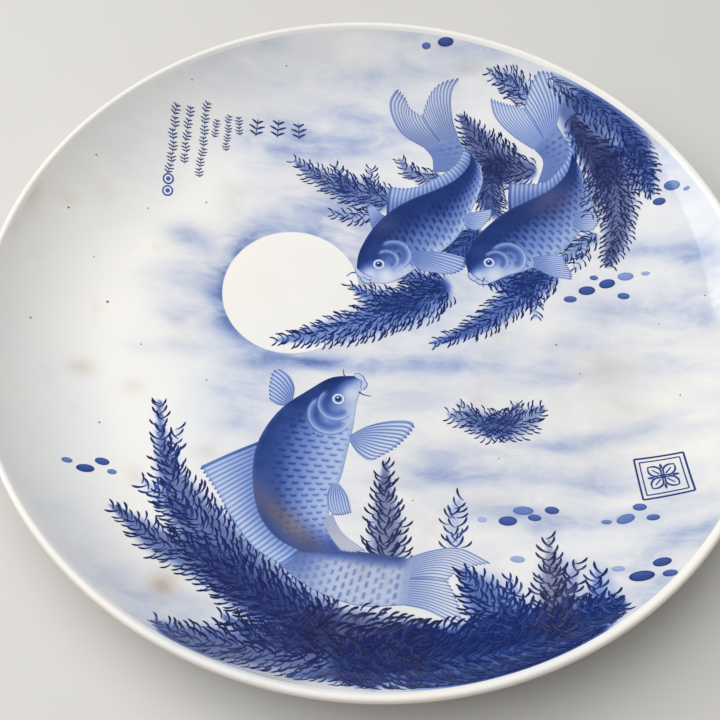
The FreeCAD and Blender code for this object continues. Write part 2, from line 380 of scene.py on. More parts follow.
def face_finish(name):
    """The same brushwork with the streaky washes of the sky under it, kept off the moon."""
    material = painted_finish(name, 0.25)
    tree = material.node_tree
    shader = tree.nodes["Principled BSDF"]
    painted = shader.inputs["Base Color"].links[0].from_socket
    sky = node(tree, "ShaderNodeAttribute", {"attribute_name": "sky"}).outputs["Fac"]
    where = node(tree, "ShaderNodeTexCoord").outputs["Object"]
    sweep = node(tree, "ShaderNodeMapping", Vector=where, Scale=(34.0, 70.0, 34.0),
                 Rotation=(0.0, 0.0, 0.12)).outputs[0]
    streak = node(tree, "ShaderNodeTexNoise", Vector=sweep, Scale=1.0, Detail=5.0,
                  Roughness=0.6, Distortion=0.4).outputs["Fac"]
    brushed = maths(tree, "MULTIPLY", sky, maths(tree, "MULTIPLY_ADD", streak, 2.6, -0.3))
    offset = node(tree, "ShaderNodeMapping", {"vector_type": "TEXTURE"}, Vector=where,
                  Location=(MOON[0] * MM, MOON[1] * MM, 0.0),
                  Scale=(MOON_SIZE[0] * MM, MOON_SIZE[1] * MM, 1000.0)).outputs[0]
    reach = node(tree, "ShaderNodeVectorMath", {"operation": "LENGTH"}, _0=offset).outputs["Value"]
    outside = node(tree, "ShaderNodeMapRange", {"interpolation_type": "SMOOTHSTEP"}, Value=reach,
                   From_Min=0.985, From_Max=1.005).outputs[0]
    brushed = maths(tree, "MULTIPLY", brushed, outside)
    air = place_group(tree, COBALT, Tone=brushed, Iron=0.22, Mottle=0.25)
    colour = blend_colour(tree, 1.0, painted, air.outputs[0], "MULTIPLY")
    tree.links.new(colour, shader.inputs["Base Color"])
    return material


FACE_PAINT = face_finish("face_painting")
WEED_PAINT = painted_finish("weed_brushwork", 0.12)
FISH_PAINT = painted_finish("fish_brushwork", 0.16)
LINE_PAINT = painted_finish("fine_brushwork", 0.12)
print("finishes:", FACE_PAINT.name, WEED_PAINT.name, FISH_PAINT.name, LINE_PAINT.name)

# %% [markdown]
# ## Painting with arrays
#
# The painter works wet into wet, so most edges are soft. Each wash is written as a formula of the
# plan position, and a piece stores the formula's value at every vertex: "sky" for the cloudy
# background, "tone" for drawn subjects, "iron" where the pigment fired brown, and "stain". The
# material then turns tone into colour, and adds the grain that no vertex could hold.

# %% Soft edges and smooth lines
def smooth(low, high, value):
    """0 below low, 1 above high, and an easy curve between them."""
    share = np.clip((value - low) / (high - low), 0.0, 1.0)
    return share * share * (3 - 2 * share)


def flowing(points, count):
    """A smooth line through a few points, sampled evenly in its own parameter."""
    points = np.asarray(points, float)
    if len(points) == 2:
        share = np.linspace(0, 1, count)[:, None]
        return points[0] * (1 - share) + points[1] * share
    padded = np.vstack([2 * points[0] - points[1], points, 2 * points[-1] - points[-2]])
    where = np.linspace(0, len(points) - 1, count)
    span = np.minimum(where.astype(int), len(points) - 2)
    share = (where - span)[:, None]
    before, start, end, after = (padded[span + step] for step in range(4))
    return 0.5 * (2 * start + (end - before) * share
                  + (2 * before - 5 * start + 4 * end - after) * share**2
                  + (3 * start - before - 3 * end + after) * share**3)


def steps_of(line):
    """The distances from each point of a line to the next."""
    return np.linalg.norm(np.diff(np.asarray(line, float), axis=0), axis=1)


def walked_along(line):
    """The distance from a line's start to each of its points."""
    return np.concatenate([[0], np.cumsum(steps_of(line))])


def layered(*washes):
    """Washes over each other: each one darkens what is left of the white."""
    bare = 1.0
    for wash in washes:
        bare = bare * (1 - np.clip(wash, 0, 1))
    return 1 - bare


# %% [markdown]
# The sky is thin cobalt wiped on with a wide brush. Each cloud is one soft oval, and the finish
# breaks the ovals into streaks. A halo round the moon makes the bare disc look bright.

# %% The cloudy ground
CLOUD_STRENGTH = 0.62
HAZE = 0.078
HALO, HALO_REACH = 0.42, 9.0
STAIN_STRENGTH = 1.35

# Each cloud is (x, y, half length, half height, strength, tilt in degrees), in millimetres.
CLOUDS = [
    (-35, 128, 34, 10, 0.30, 8), (-28, 148, 30, 9, 0.26, 10), (8, 138, 30, 16, 0.22, 20),
    (-5, 172, 40, 9, 0.20, 6), (30, 190, 34, 7, 0.22, -6), (-60, 120, 25, 12, 0.16, 0),
    (-95, 168, 40, 22, 0.16, 35), (-32, 86, 26, 12, 0.26, 14), (-12, 72, 16, 10, 0.34, -20),
    (-104, 58, 15, 9, 0.30, -25), (-108, 30, 20, 14, 0.20, 0), (-102, 8, 16, 9, 0.20, 5),
    (-100, -12, 22, 5, 0.18, 4), (-62, -17, 26, 5, 0.2, 2), (-28, -15, 26, 4, 0.42, -4),
    (8, -12, 34, 5, 0.2, 3), (52, -10, 40, 6, 0.2, 5), (95, -16, 34, 5, 0.18, 5),
    (25, -32, 26, 7, 0.16, 6), (-60, -50, 17, 14, 0.22, 0), (-66, -30, 20, 9, 0.16, 0),
    (40, -62, 36, 6, 0.16, 5), (32, -68, 15, 7, 0.3, 6), (48, -75, 38, 6, 0.28, 5),
    (92, -70, 36, 7, 0.16, 5), (118, -49, 34, 4, 0.2, 9), (100, -56, 28, 4, 0.26, 7),
    (140, -40, 18, 6, 0.14, 8), (118, -77, 26, 6, 0.22, 6), (150, -86, 18, 10, 0.16, 8),
    (75, -92, 46, 7, 0.18, 4), (112, -96, 44, 6, 0.18, 7), (152, -107, 22, 7, 0.32, 12),
    (135, -118, 30, 7, 0.22, 10), (136, -140, 20, 14, 0.30, 20), (96, -100, 26, 6, 0.10, 4),
    (168, 58, 16, 8, 0.30, -20), (150, 66, 26, 5, 0.24, -4), (140, 30, 30, 6, 0.16, 2),
    (165, 24, 18, 8, 0.24, -10), (122, 8, 34, 5, 0.16, 4), (160, -8, 20, 8, 0.16, 0),
    (88, 186, 40, 6, 0.20, -22), (62, 190, 20, 8, 0.16, -15), (152, 112, 10, 24, 0.18, 30),
    (-108, -152, 40, 16, 0.18, -40), (-140, -118, 22, 20, 0.07, -40), (-84, -156, 22, 7, 0.26, 0),
    (-150, 92, 34, 40, 0.05, 50), (-122, 96, 30, 26, 0.06, 0), (-168, -60, 22, 40, 0.03, 10),
    (-70, -186, 60, 8, 0.22, -22), (135, 22, 42, 26, 0.10, 10), (-62, 128, 26, 16, 0.10, 0),
    (178, 42, 18, 30, 0.09, 0), (20, 60, 30, 26, 0.20, 30), (30, 20, 40, 26, 0.10, 30),
]


def soft_spot(x, y, centre_x, centre_y, length, height, tilt=0.0):
    """An oval that fades outwards, 1 at its middle."""
    angle = math.radians(tilt)
    along = (x - centre_x) * math.cos(angle) + (y - centre_y) * math.sin(angle)
    across = (y - centre_y) * math.cos(angle) - (x - centre_x) * math.sin(angle)
    return np.exp(-(along / length) ** 2 - (across / height) ** 2)


def moon_distance(x, y):
    """Distance from the moon's edge, negative on its disc."""
    reach = np.hypot((x - MOON[0]) / MOON_SIZE[0], (y - MOON[1]) / MOON_SIZE[1])
    return (reach - 1) * MOON_SIZE[0]


def sky_tone(x, y):
    """The background: cloud washes and the halo that makes the bare moon shine."""
    clouds = layered(*(strength * CLOUD_STRENGTH * soft_spot(x, y, cx, cy, length, height, tilt)
                       for cx, cy, length, height, strength, tilt in CLOUDS))
    gap = moon_distance(x, y)
    angle = np.arctan2(y - MOON[1], x - MOON[0])
    facing = 0.62 + 0.38 * np.cos(angle - math.radians(165))
    halo = HALO * facing * np.exp(-np.maximum(gap, 0) / HALO_REACH)
    haze = HAZE * smooth(-110, -60, x)
    return layered(haze, clouds, halo)


# Tea-brown stains in the glaze: (x, y, half length, half height, strength).
STAINS = [(-90, -145, 7, 7, 0.75), (-148, -29, 7, 5, 0.4), (-120, -38, 6, 5, 0.25),
          (-80, -71, 6, 4, 0.35), (-112, -87, 4, 5, 0.4), (-82, 90, 9, 8, 0.2),
          (44, 178, 9, 3, 0.35), (-187, 62, 5, 12, 0.4), (-192, 44, 3, 8, 0.4),
          (120, -8, 18, 10, 0.22), (-60, -182, 22, 5, 0.4), (-35, -192, 18, 4, 0.5),
          (130, -30, 16, 8, 0.12), (-20, 176, 14, 6, 0.1), (60, -88, 14, 6, 0.12),
          (-45, 28, 60, 60, 0.05)]


def stain_depth(x, y):
    """How strongly the glaze is stained there."""
    return layered(*(STAIN_STRENGTH * strength * soft_spot(x, y, cx, cy, length, height)
                     for cx, cy, length, height, strength in STAINS))


# %% [markdown]
# Waterweed is painted in two goes: first a soft wash along each stem, then the brushmarks over it.
# The same short list of stems serves both, so the wash always lies under its own marks.

# %% The waterweed's stems and its soft wash
WASH_STRENGTH = 0.88
THINNEST_STEM = 1.2

# Each frond is (layer, wash, iron, mark length, stem), and a stem is a few (x, y, half width)
# points from its root to its tip. "Far" layers lie behind the fish and "near" ones in front of
# them, the "upper" layers are drawn with a smaller brush, and "wash" has no brushmarks at all.
FRONDS = [
    ("far", 0.64, 0.3, 7.0, [(-15, -158, 16), (-40, -145, 18), (-60, -128, 17), (-76, -112, 15),
        (-88, -98, 11), (-98, -80, 6), (-103, -62, 3), (-106, -45, 1.5)]),
    ("far", 0.21, 0.0, 7.2, [(-93, -85, 4), (-96, -72, 3.5), (-94, -60, 1.5)]),
    ("far", 0.28, 0.0, 7.2, [(-85, -108, 6), (-98, -98, 4.5), (-108, -90, 1.5)]),
    ("far", 0.64, 0.3, 7.0, [(-20, -160, 12), (-45, -148, 13), (-65, -135, 12), (-85, -126, 10),
        (-98, -121, 8), (-108, -114, 5), (-120, -106, 1.5)]),
    ("far", 0.64, 0.3, 7.0, [(10, -180, 14), (-15, -178, 13), (-40, -176, 13), (-60, -175, 12),
        (-78, -174, 8), (-89, -168, 2)]),
    ("far", 0.64, 0.3, 7.0, [(-10, -168, 8), (-35, -168, 7), (-50, -164, 4.5), (-61, -159, 1.5)]),
    ("wash", 0.55, 0.2, 0.0, [(10, -189, 5), (-10, -186, 4), (-28, -189, 2)]),
    ("near", 0.76, 0.6, 7.2, [(-25, -162, 11), (-5, -160, 13), (14, -164, 15), (30, -168, 16)]),
    ("near", 0.84, 0.0, 8.0, [(-5, -177, 15), (30, -175, 20), (60, -171, 21), (85, -163, 19),
        (103, -153, 13), (118, -145, 5)]),
    ("wash", 0.70, 0.0, 0.0, [(20, -160, 8), (45, -164, 10), (70, -158, 12), (92, -152, 10)]),
    ("wash", 0.60, 0.0, 0.0, [(25, -188, 5), (55, -184, 5), (85, -173, 4), (110, -160, 3)]),
    ("far", 0.55, 0.55, 7.2, [(12, -124, 10), (12, -104, 9), (10, -86, 5), (10, -70, 1.5)]),
    ("far", 0.21, 0.0, 7.2, [(45, -113, 5), (44, -99, 4), (47, -88, 1.5)]),
    ("near", 0.56, 0.0, 7.2, [(72, -158, 13), (61, -142, 12), (54, -132, 7), (50, -126, 3)]),
    ("near", 0.28, 0.0, 7.2, [(77, -155, 8), (75, -141, 5), (71, -130, 2)]),
    ("near", 0.36, 0.7, 7.2, [(92, -158, 11), (91, -136, 8), (91, -119, 4), (90, -107, 1.5)]),
    ("near", 0.21, 0.3, 7.2, [(97, -142, 5), (100, -129, 3), (103, -119, 1.5)]),
    ("near", 0.34, 0.0, 7.2, [(107, -155, 8), (110, -140, 5), (112, -124, 1.5)]),
    ("wash", 0.24, 0.0, 0.0, [(66, -152, 20), (60, -136, 14)]),
    ("wash", 0.24, 0.0, 0.0, [(96, -150, 18), (93, -122, 10)]),
    ("wash", 0.24, 0.0, 0.0, [(112, -148, 14), (114, -130, 6)]),
    ("near", 0.21, 0.0, 7.2, [(114, -153, 4), (118, -138, 1.5)]),
    ("upper far", 0.55, 0.0, 6.0, [(35, 37, 10), (25, 28, 13), (8, 19, 12), (-12, 9, 10),
        (-32, 2, 6), (-50, -3, 1.5)]),
    ("upper far", 0.51, 0.0, 5.6, [(22, 28, 9), (10, 26, 8), (-3, 29, 5), (-14, 34, 1.5)]),
    ("upper far", 0.55, 0.0, 5.6, [(37, 38, 8), (30, 38, 8), (20, 42, 6), (10, 43, 1.5)]),
    ("upper far", 0.66, 0.0, 5.6, [(94, 50, 7), (85, 42, 10), (72, 30, 9), (60, 18, 7), (45, 8, 4),
        (32, 2, 1.5)]),
    ("upper far", 0.28, 0.0, 5.6, [(80, 42, 5), (84, 32, 4), (85, 22, 1.5)]),
    ("upper far", 0.59, 0.0, 5.6, [(60, 47, 7), (75, 43, 8), (88, 50, 5)]),
    ("upper far", 0.51, 0.2, 5.6, [(2, 92, 10), (-12, 96, 10), (-27, 102, 8), (-40, 108, 5),
        (-50, 115, 1.5)]),
    ("upper far", 0.25, 0.2, 5.6, [(-18, 99, 5), (-24, 106, 3.5), (-27, 114, 1.5)]),
    ("upper far", 0.25, 0.2, 5.6, [(-4, 97, 5), (-7, 105, 3.5), (-8, 113, 1.5)]),
    ("upper far", 0.27, 0.0, 5.6, [(-4, 82, 5), (-15, 80, 4), (-26, 81, 1.5)]),
    ("upper far", 0.48, 0.3, 5.6, [(31, 111, 4), (22, 110, 5), (14, 114, 4), (9, 121, 1.5)]),
    ("upper far", 0.68, 0.45, 5.6, [(84, 118, 7), (70, 120, 14), (57, 130, 13), (50, 142, 7),
        (43, 152, 2)]),
    ("upper far", 0.64, 0.3, 5.0, [(63.5, 125.1, 9), (61.4, 111, 9), (59.8, 98.5, 9),
        (63.9, 87.8, 5)]),
    ("upper far", 0.30, 0.3, 5.0, [(65.8, 121.8, 6), (58.1, 105.2, 7), (60.5, 91.7, 5)]),
    ("upper far", 0.66, 0.0, 5.0, [(52.9, 76.2, 6), (47.5, 67.9, 9), (42.2, 59.5, 8), (38, 54, 3)]),
    ("upper far", 0.30, 0.0, 5.0, [(54.1, 73.6, 5), (45.4, 63.7, 8), (40.1, 56.7, 4)]),
    ("upper far", 0.30, 0.1, 4.6, [(79.7, 158.9, 5), (74.1, 166.5, 7), (66.5, 171.2, 5),
        (57.7, 175.7, 1.5)]),
    ("upper far", 0.20, 0.1, 4.6, [(78.4, 161.1, 4), (70.6, 168.8, 6), (62.5, 172.5, 3)]),
    ("wash", 0.40, 0.25, 0.0, [(102, 154, 8), (111, 141, 11), (120, 128, 11), (126, 114, 9)]),
    ("wash", 0.36, 0.2, 0.0, [(98.9, 157.3, 6), (111, 141, 11), (120, 128, 11), (126, 114, 9)]),
    ("wash", 0.50, 0.0, 0.0, [(108, 158, 4), (125, 145, 6), (138, 130, 6), (144, 116, 4)]),
    ("upper near", 0.46, 0.1, 5.0, [(91.4, 168.8, 3), (102.8, 162.2, 6), (113, 155, 7),
        (127, 142, 7), (139, 127, 8), (145, 112, 5), (148, 100, 1.5)]),
    ("upper near", 0.68, 0.5, 5.0, [(105, 147, 3), (113, 132, 7), (123, 118.5, 12), (130.5, 99, 11),
        (130, 76.5, 8), (125, 58, 3)]),
    ("upper near", 0.40, 0.1, 5.0, [(131.3, 125.7, 8), (141, 111.8, 8), (148.4, 98.1, 2)]),
    ("upper near", 0.30, 0.3, 5.0, [(127.4, 121.2, 5), (120.3, 105, 7), (117, 90.3, 3)]),
    ("upper far", 0.48, 0.1, 5.6, [(118, 76, 5), (110, 70, 5), (104, 63, 4), (99, 58, 2)]),
    ("upper far", 0.24, 0.0, 5.6, [(113, 66, 3), (107, 54, 1.5)]),
    ("upper far", 0.46, 0.2, 5.0, [(71.7, -44.9, 8), (60.6, -45.1, 9), (49.4, -42.3, 6),
        (41.2, -40.6, 2)]),
    ("upper far", 0.46, 0.2, 5.0, [(58.6, -44.6, 6), (69.2, -45.7, 9), (79.4, -41, 8),
        (87.6, -34.1, 2.5)]),
    ("upper far", 0.24, 0.2, 4.6, [(56.5, -44.8, 3), (50.4, -37.6, 3), (46.2, -33.2, 1.2)]),
    ("upper far", 0.24, 0.2, 4.6, [(72.8, -43.7, 4), (74.8, -36, 4), (75.3, -30.7, 1.2)]),
]


def weed_wash(x, y):
    """Tone and iron of the soft wash that lies under every frond."""
    bare, iron = np.ones(x.size), np.zeros(x.size)
    for _, strength, brown, _, stem in FRONDS:
        line = flowing(stem, 6 * len(stem))
        wash = np.zeros(x.size)
        for (ax, ay, start_width), (bx, by, end_width) in zip(line, line[1:]):
            length = max((bx - ax) ** 2 + (by - ay) ** 2, 1e-6)
            passed = ((x - ax) * (bx - ax) + (y - ay) * (by - ay)) / length
            share = np.clip(passed, 0, 1)
            gap = np.hypot(x - ax - share * (bx - ax), y - ay - share * (by - ay))
            gap = gap + np.maximum(-passed, 0) * math.sqrt(length)
            width = np.maximum(start_width + (end_width - start_width) * share, THINNEST_STEM)
            wash = np.maximum(wash, 1 - smooth(0.35, 1.15, gap / width))
        bare = bare * (1 - WASH_STRENGTH * strength * wash)
        iron = np.maximum(iron, brown * wash)
    return 1 - bare, iron


# %% [markdown]
# Every drawn piece is a set of thin closed sheets. A sheet is a grid in plan, pressed onto the face
# twice, a little apart, and joined around its border. Its edges are marked sharp, so that the
# smooth shading of the top doesn't run over the border.

# %% Meshes laid on the face
SHEET_DEPTH = 0.2


def root_piece(name, mesh):
    """A finished mesh as a piece that rides on the dish's one body."""
    piece = bpy.data.objects.new(name, mesh)
    scene.collection.objects.link(piece)
    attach(piece, "root")
    return piece


def closed_sheet(plan, lift, thickness):
    """Corners, faces and border of a closed thin sheet over a grid of plan points."""
    rows, columns = plan.shape[:2]
    flat = plan.reshape(-1, 2)
    count = len(flat)
    index = np.arange(count).reshape(rows, columns)
    corners = [index[:-1, :-1], index[1:, :-1], index[1:, 1:], index[:-1, 1:]]
    top = np.stack(corners, -1).reshape(-1, 4)
    first = flat[top[:, 1]] - flat[top[:, 0]]
    second = flat[top[:, 3]] - flat[top[:, 0]]
    ring = np.concatenate([index[:-1, 0], index[-1, :-1], index[:0:-1, -1], index[0, :0:-1]])
    if (first[:, 0] * second[:, 1] - first[:, 1] * second[:, 0]).sum() < 0:
        top, ring = top[:, ::-1], ring[::-1]
    ahead = np.roll(ring, -1)
    sides = np.column_stack([ring, ring + count, ahead + count, ahead])
    places = np.vstack([press(flat, lift), press(flat, lift - thickness)])
    return places, np.vstack([top, top[:, ::-1] + count, sides]), ring


def lay_sheets(name, sheets, finish, thickness=SHEET_DEPTH):
    """One piece made of thin sheets: each is a plan grid, its lift and its painted values."""
    titles = sorted({title for _, _, painted in sheets for title in painted})
    places, faces, edge_marks, values = [], [], [], {title: [] for title in titles}
    start = 0
    for plan, lift, painted in sheets:
        corners, made, ring = closed_sheet(plan, lift, thickness)
        places.append(corners)
        faces.append(made + start)
        marks = np.zeros(len(corners), int)
        marks[ring] = 1
        marks[ring + len(corners) // 2] = 2
        edge_marks.append(marks)
        for title in titles:
            one_side = np.broadcast_to(painted.get(title, 0.0), plan.shape[:2]).reshape(-1)
            values[title].append(np.tile(one_side, 2))
        start += len(corners)
    mesh = bpy.data.meshes.new(name)
    mesh.from_pydata(np.vstack(places).tolist(), [], np.vstack(faces).tolist())
    mesh.shade_smooth()
    marks = np.concatenate(edge_marks)
    pairs = np.empty(2 * len(mesh.edges), int)
    mesh.edges.foreach_get("vertices", pairs)
    pairs = marks[pairs.reshape(-1, 2)]
    sharp = (pairs[:, 0] == pairs[:, 1]) & (pairs[:, 0] > 0)
    mesh.attributes.new("sharp_edge", "BOOLEAN", "EDGE").data.foreach_set("value", sharp)
    for title in titles:
        data = np.concatenate(values[title]).astype(np.float32)
        mesh.attributes.new(title, "FLOAT", "POINT").data.foreach_set("value", data)
    mesh.materials.append(finish)
    return root_piece(name, mesh)


def disc_grid(steps, radius=1.0):
    """A square grid bent into a round one, so that its cells stay even out to the edge."""
    line = np.linspace(-1, 1, steps + 1)
    a, b = np.meshgrid(line, line)
    wide = np.abs(a) > np.abs(b)
    reach = np.where(wide, a, b)
    safe = np.where(reach == 0, 1, reach)
    turn = np.where(wide, math.pi / 4 * b / safe, math.pi / 2 - math.pi / 4 * a / safe)
    return np.stack([reach * np.cos(turn), reach * np.sin(turn)], -1) * radius


# %% [markdown]
# ## The painted face
#
# The face is one glaze coat from the centre to just inside the lip. A square grid bent into a disc
# keeps its cells even, where a wheel of spokes would crowd them at the centre. Its vertices carry
# only the soft washes; crisp drawing comes later as pieces of its own.

# %% Lay the face
PAINTED_EDGE = 195.0
FACE_STEPS = 214
FACE_DEPTH = 0.35

face_plan = disc_grid(FACE_STEPS, PAINTED_EDGE)
face_x, face_y = face_plan[..., 0].ravel(), face_plan[..., 1].ravel()
weed_tone, weed_iron = weed_wash(face_x, face_y)
face_shape = face_plan.shape[:2]
painted_face = lay_sheets("painted_face", [(face_plan, 0.0, {
    "sky": sky_tone(face_x, face_y).reshape(face_shape),
    "tone": weed_tone.reshape(face_shape),
    "iron": weed_iron.reshape(face_shape),
    "stain": stain_depth(face_x, face_y).reshape(face_shape)})], FACE_PAINT, FACE_DEPTH)
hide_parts("face_glaze")
print("face:", len(painted_face.data.polygons), "faces")

# %% [markdown]
# ## Lip, back and foot
#
# Everything outside the painting is turned on the wheel, so each of these pieces is an outline
# spun about the axis. The lip is left white: the brush stopped short of it, and the glaze runs thin
# over its edge, where the clay shows through a little warm. The back is plain, the glaze pools
# bluish in the corner against the foot, and the foot's resting edge was wiped clean before firing.

# %% Spinning an outline
def spin(name, outline, steps, finish):
    """A closed surface of revolution from (radius, height) points in millimetres."""
    rings, faces, places = [], [], []
    turn = np.linspace(0, 2 * math.pi, steps, endpoint=False)
    for radius, height in outline:
        start = len(places)
        if radius < 1e-6:
            places.append((0.0, 0.0, height * MM))
            rings.append([start] * steps)
        else:
            places += [(radius * MM * math.cos(t), radius * MM * math.sin(t), height * MM)
                       for t in turn]
            rings.append(list(range(start, start + steps)))
    for lower, upper in zip(rings, rings[1:] + rings[:1]):
        for index in range(steps):
            following = (index + 1) % steps
            corners = [lower[index], lower[following], upper[following], upper[index]]
            corners = [c for at, c in enumerate(corners) if c not in corners[:at]]
            if len(corners) > 2:
                faces.append(corners)
    mesh = bpy.data.meshes.new(name)
    mesh.from_pydata(places, [], faces)
    mesh.shade_smooth()
    mesh.set_sharp_from_angle(angle=math.radians(40))
    mesh.materials.append(finish)
    return root_piece(name, mesh)


def arc(centre, radius, from_slope, to_slope, count):
    """Outline points of an arc, its slopes measured from the point below its centre."""
    return [(centre[0] + radius * math.sin(slope), centre[1] - radius * math.cos(slope))
            for slope in np.linspace(from_slope, to_slope, count)]


# %% [markdown]
# Two finishes cover everything that isn't painted. Plain glaze turns warm on the thin lip and blue
# where it pooled. Bare clay was never glazed, so it is matt and gritty, and holds dirt.

# %% Plain glaze
def plain_glaze(name, pool=0.0):
    """Clear glaze over white clay, warmer on thin edges and faintly blue where it pooled."""
    material, tree, shader = new_finish(name, 0.08)
    where = node(tree, "ShaderNodeTexCoord").outputs["Object"]
    colour = place_group(tree, GROUND).outputs[0]
    place = node(tree, "ShaderNodeSeparateXYZ", Vector=where)
    height = place.outputs["Z"]
    radius = maths(tree, "SQRT", maths(tree, "ADD", maths(tree, "POWER", place.outputs["X"], 2.0),
                                       maths(tree, "POWER", place.outputs["Y"], 2.0)))
    rim = node(tree, "ShaderNodeMapRange", {"interpolation_type": "SMOOTHSTEP"}, Value=radius,
               From_Min=(RIM - 1.6) * MM, From_Max=(RIM - 0.1) * MM, To_Max=0.55).outputs[0]
    under = node(tree, "ShaderNodeMapRange", Value=height, From_Min=(LIP_Z - 3.0) * MM,
                 From_Max=LIP_Z * MM, To_Min=0.1, To_Max=1.0).outputs[0]
    colour = blend_colour(tree, maths(tree, "MULTIPLY", rim, under), colour,
                          (0.74, 0.60, 0.50, 1.0))
    low = node(tree, "ShaderNodeMapRange", {"interpolation_type": "SMOOTHSTEP"}, Value=height,
               From_Min=FLOOR_LOW * MM, From_Max=4.0 * MM, To_Max=pool).outputs[0]
    colour = blend_colour(tree, low, colour, (0.66, 0.76, 0.80, 1.0))
    tree.links.new(colour, shader.inputs["Base Color"])
    tree.links.new(place_group(tree, RIPPLE, Depth=0.1).outputs[0], shader.inputs["Normal"])
    return material


def bare_clay(name):
    """Unglazed clay: matt, cream, gritty, with grime worked into the resting edge."""
    material, tree, shader = new_finish(name, 0.7)
    where = node(tree, "ShaderNodeTexCoord").outputs["Object"]
    grit = node(tree, "ShaderNodeTexNoise", Vector=where, Scale=700.0, Detail=4.0).outputs["Fac"]
    cloud = node(tree, "ShaderNodeTexNoise", Vector=where, Scale=60.0, Detail=3.0).outputs["Fac"]
    colour = colour_ramp(tree, cloud, [(0.3, 0.58, 0.49, 0.38), (0.55, 0.74, 0.67, 0.56),
                                       (0.8, 0.80, 0.74, 0.64)])
    speck = node(tree, "ShaderNodeMapRange", Value=grit, From_Min=0.62, From_Max=0.72).outputs[0]
    colour = blend_colour(tree, speck, colour, (0.30, 0.22, 0.15, 1.0))
    bump = node(tree, "ShaderNodeBump", Height=grit, Strength=0.35, Distance=0.0006)
    tree.links.new(colour, shader.inputs["Base Color"])
    tree.links.new(bump.outputs["Normal"], shader.inputs["Normal"])
    return material


LIP_GLAZE = plain_glaze("lip_glaze")
BACK_GLAZE = plain_glaze("back_glaze_finish", pool=0.5)
BARE_CLAY = bare_clay("bare_clay")

# %% [markdown]
# Each outline goes once round its own section and is closed, so the spun piece has no open edge.
# A point on the axis becomes one shared vertex instead of a ring, which closes the recess there.

# %% Spin the lip, the back and the foot
SPIN_STEPS = 480
FOOT_HEIGHT = 9.0
BARE_FOOT = 2.5
CORNER_POOL = 2.2
FOOT_HALF_ROOT = 4.5
FOOT_HALF_EDGE = 2.5
EDGE_ROUND = 0.9

OUTER_R = LIP_R + HALF_LIP * math.sin(WALL_SLOPE)
OUTER_Z = LIP_Z - HALF_LIP * math.cos(WALL_SLOPE)
OUTER_ARC = (OUTER_Z - FOOT_HEIGHT) / (1 - math.cos(WALL_SLOPE))
OUTER_CENTRE = (OUTER_R - OUTER_ARC * math.sin(WALL_SLOPE), FOOT_HEIGHT + OUTER_ARC)
painted_slope = float(face_slope(np.array(PAINTED_EDGE)))

lip_outline = arc((WALL_R, WALL_Z), WALL_ARC, painted_slope, WALL_SLOPE, 4)
lip_outline += arc((LIP_R, LIP_Z), HALF_LIP, WALL_SLOPE + math.pi, math.pi / 2, 14)[1:]
lip_outline += arc((LIP_R, LIP_Z), HALF_LIP - FACE_DEPTH, math.pi / 2, WALL_SLOPE + math.pi, 14)
lip_outline += arc((WALL_R, WALL_Z), WALL_ARC + FACE_DEPTH, WALL_SLOPE, painted_slope, 4)[1:]
lip = spin("white_lip", lip_outline[::-1], SPIN_STEPS, LIP_GLAZE)
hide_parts("face_glaze")
print("lip:", len(lip.data.polygons), "faces")


def foot_half(height):
    """Half the width of the foot ring at a height above its resting edge."""
    return FOOT_HALF_EDGE + (FOOT_HALF_ROOT - FOOT_HALF_EDGE) * height / FOOT_HEIGHT


FOOT_MIDDLE = foot_box[1][0] - foot_half(FOOT_HEIGHT + GLAZE)


def foot_side(height, side, coat=0.0):
    """A point on the foot ring's sloping side, outside for side 1 and inside for side -1."""
    return FOOT_MIDDLE + side * (foot_half(height) + coat), height


def corner_pool(side, radius, height):
    """Glaze pooled in the corner between the foot and the underside, as a small hollow arc."""
    centre = (radius + side * CORNER_POOL, height - CORNER_POOL)
    return [(centre[0] - side * CORNER_POOL * math.cos(t), centre[1] + CORNER_POOL * math.sin(t))
            for t in np.linspace(0.1, math.pi / 2, 6)]


outside_corner = foot_side(FOOT_HEIGHT, 1, GLAZE)
back_outline = [foot_side(BARE_FOOT, 1, 0.0), foot_side(BARE_FOOT, 1, GLAZE * 0.7)]
back_outline += [foot_side(BARE_FOOT + 0.5, 1, GLAZE)]
back_outline += corner_pool(1, outside_corner[0], FOOT_HEIGHT)
back_outline += [(OUTER_CENTRE[0], FOOT_HEIGHT)]
back_outline += arc(OUTER_CENTRE, OUTER_ARC, 0.0, WALL_SLOPE, 40)[1:]
back_outline += arc((LIP_R, LIP_Z), HALF_LIP, WALL_SLOPE, math.pi / 2, 8)[1:]
back_outline += arc((LIP_R, LIP_Z), HALF_LIP - GLAZE, math.pi / 2, WALL_SLOPE, 8)
back_outline += arc(OUTER_CENTRE, OUTER_ARC - GLAZE, WALL_SLOPE, 0.0, 40)[1:]
back_outline += [(foot_side(FOOT_HEIGHT, 1)[0], FOOT_HEIGHT + GLAZE)]
back = spin("glazed_back", back_outline, SPIN_STEPS, BACK_GLAZE)
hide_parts("back_glaze")

inside_corner = foot_side(FOOT_HEIGHT, -1, GLAZE)
recess_outline = [(0.0, FOOT_HEIGHT + GLAZE), (0.0, FOOT_HEIGHT)]
recess_outline += [(inside_corner[0] - CORNER_POOL - 60 + step, FOOT_HEIGHT) for step in (0, 30, 58)]
recess_outline += corner_pool(-1, inside_corner[0], FOOT_HEIGHT)[::-1]
recess_outline += [foot_side(BARE_FOOT + 0.5, -1, GLAZE), foot_side(BARE_FOOT, -1, GLAZE * 0.7)]
recess_outline += [foot_side(BARE_FOOT, -1, 0.0)]
recess_outline += [(foot_side(FOOT_HEIGHT, -1)[0], FOOT_HEIGHT + GLAZE)]
recess = spin("glazed_recess", recess_outline, SPIN_STEPS, BACK_GLAZE)
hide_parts("recess_glaze")

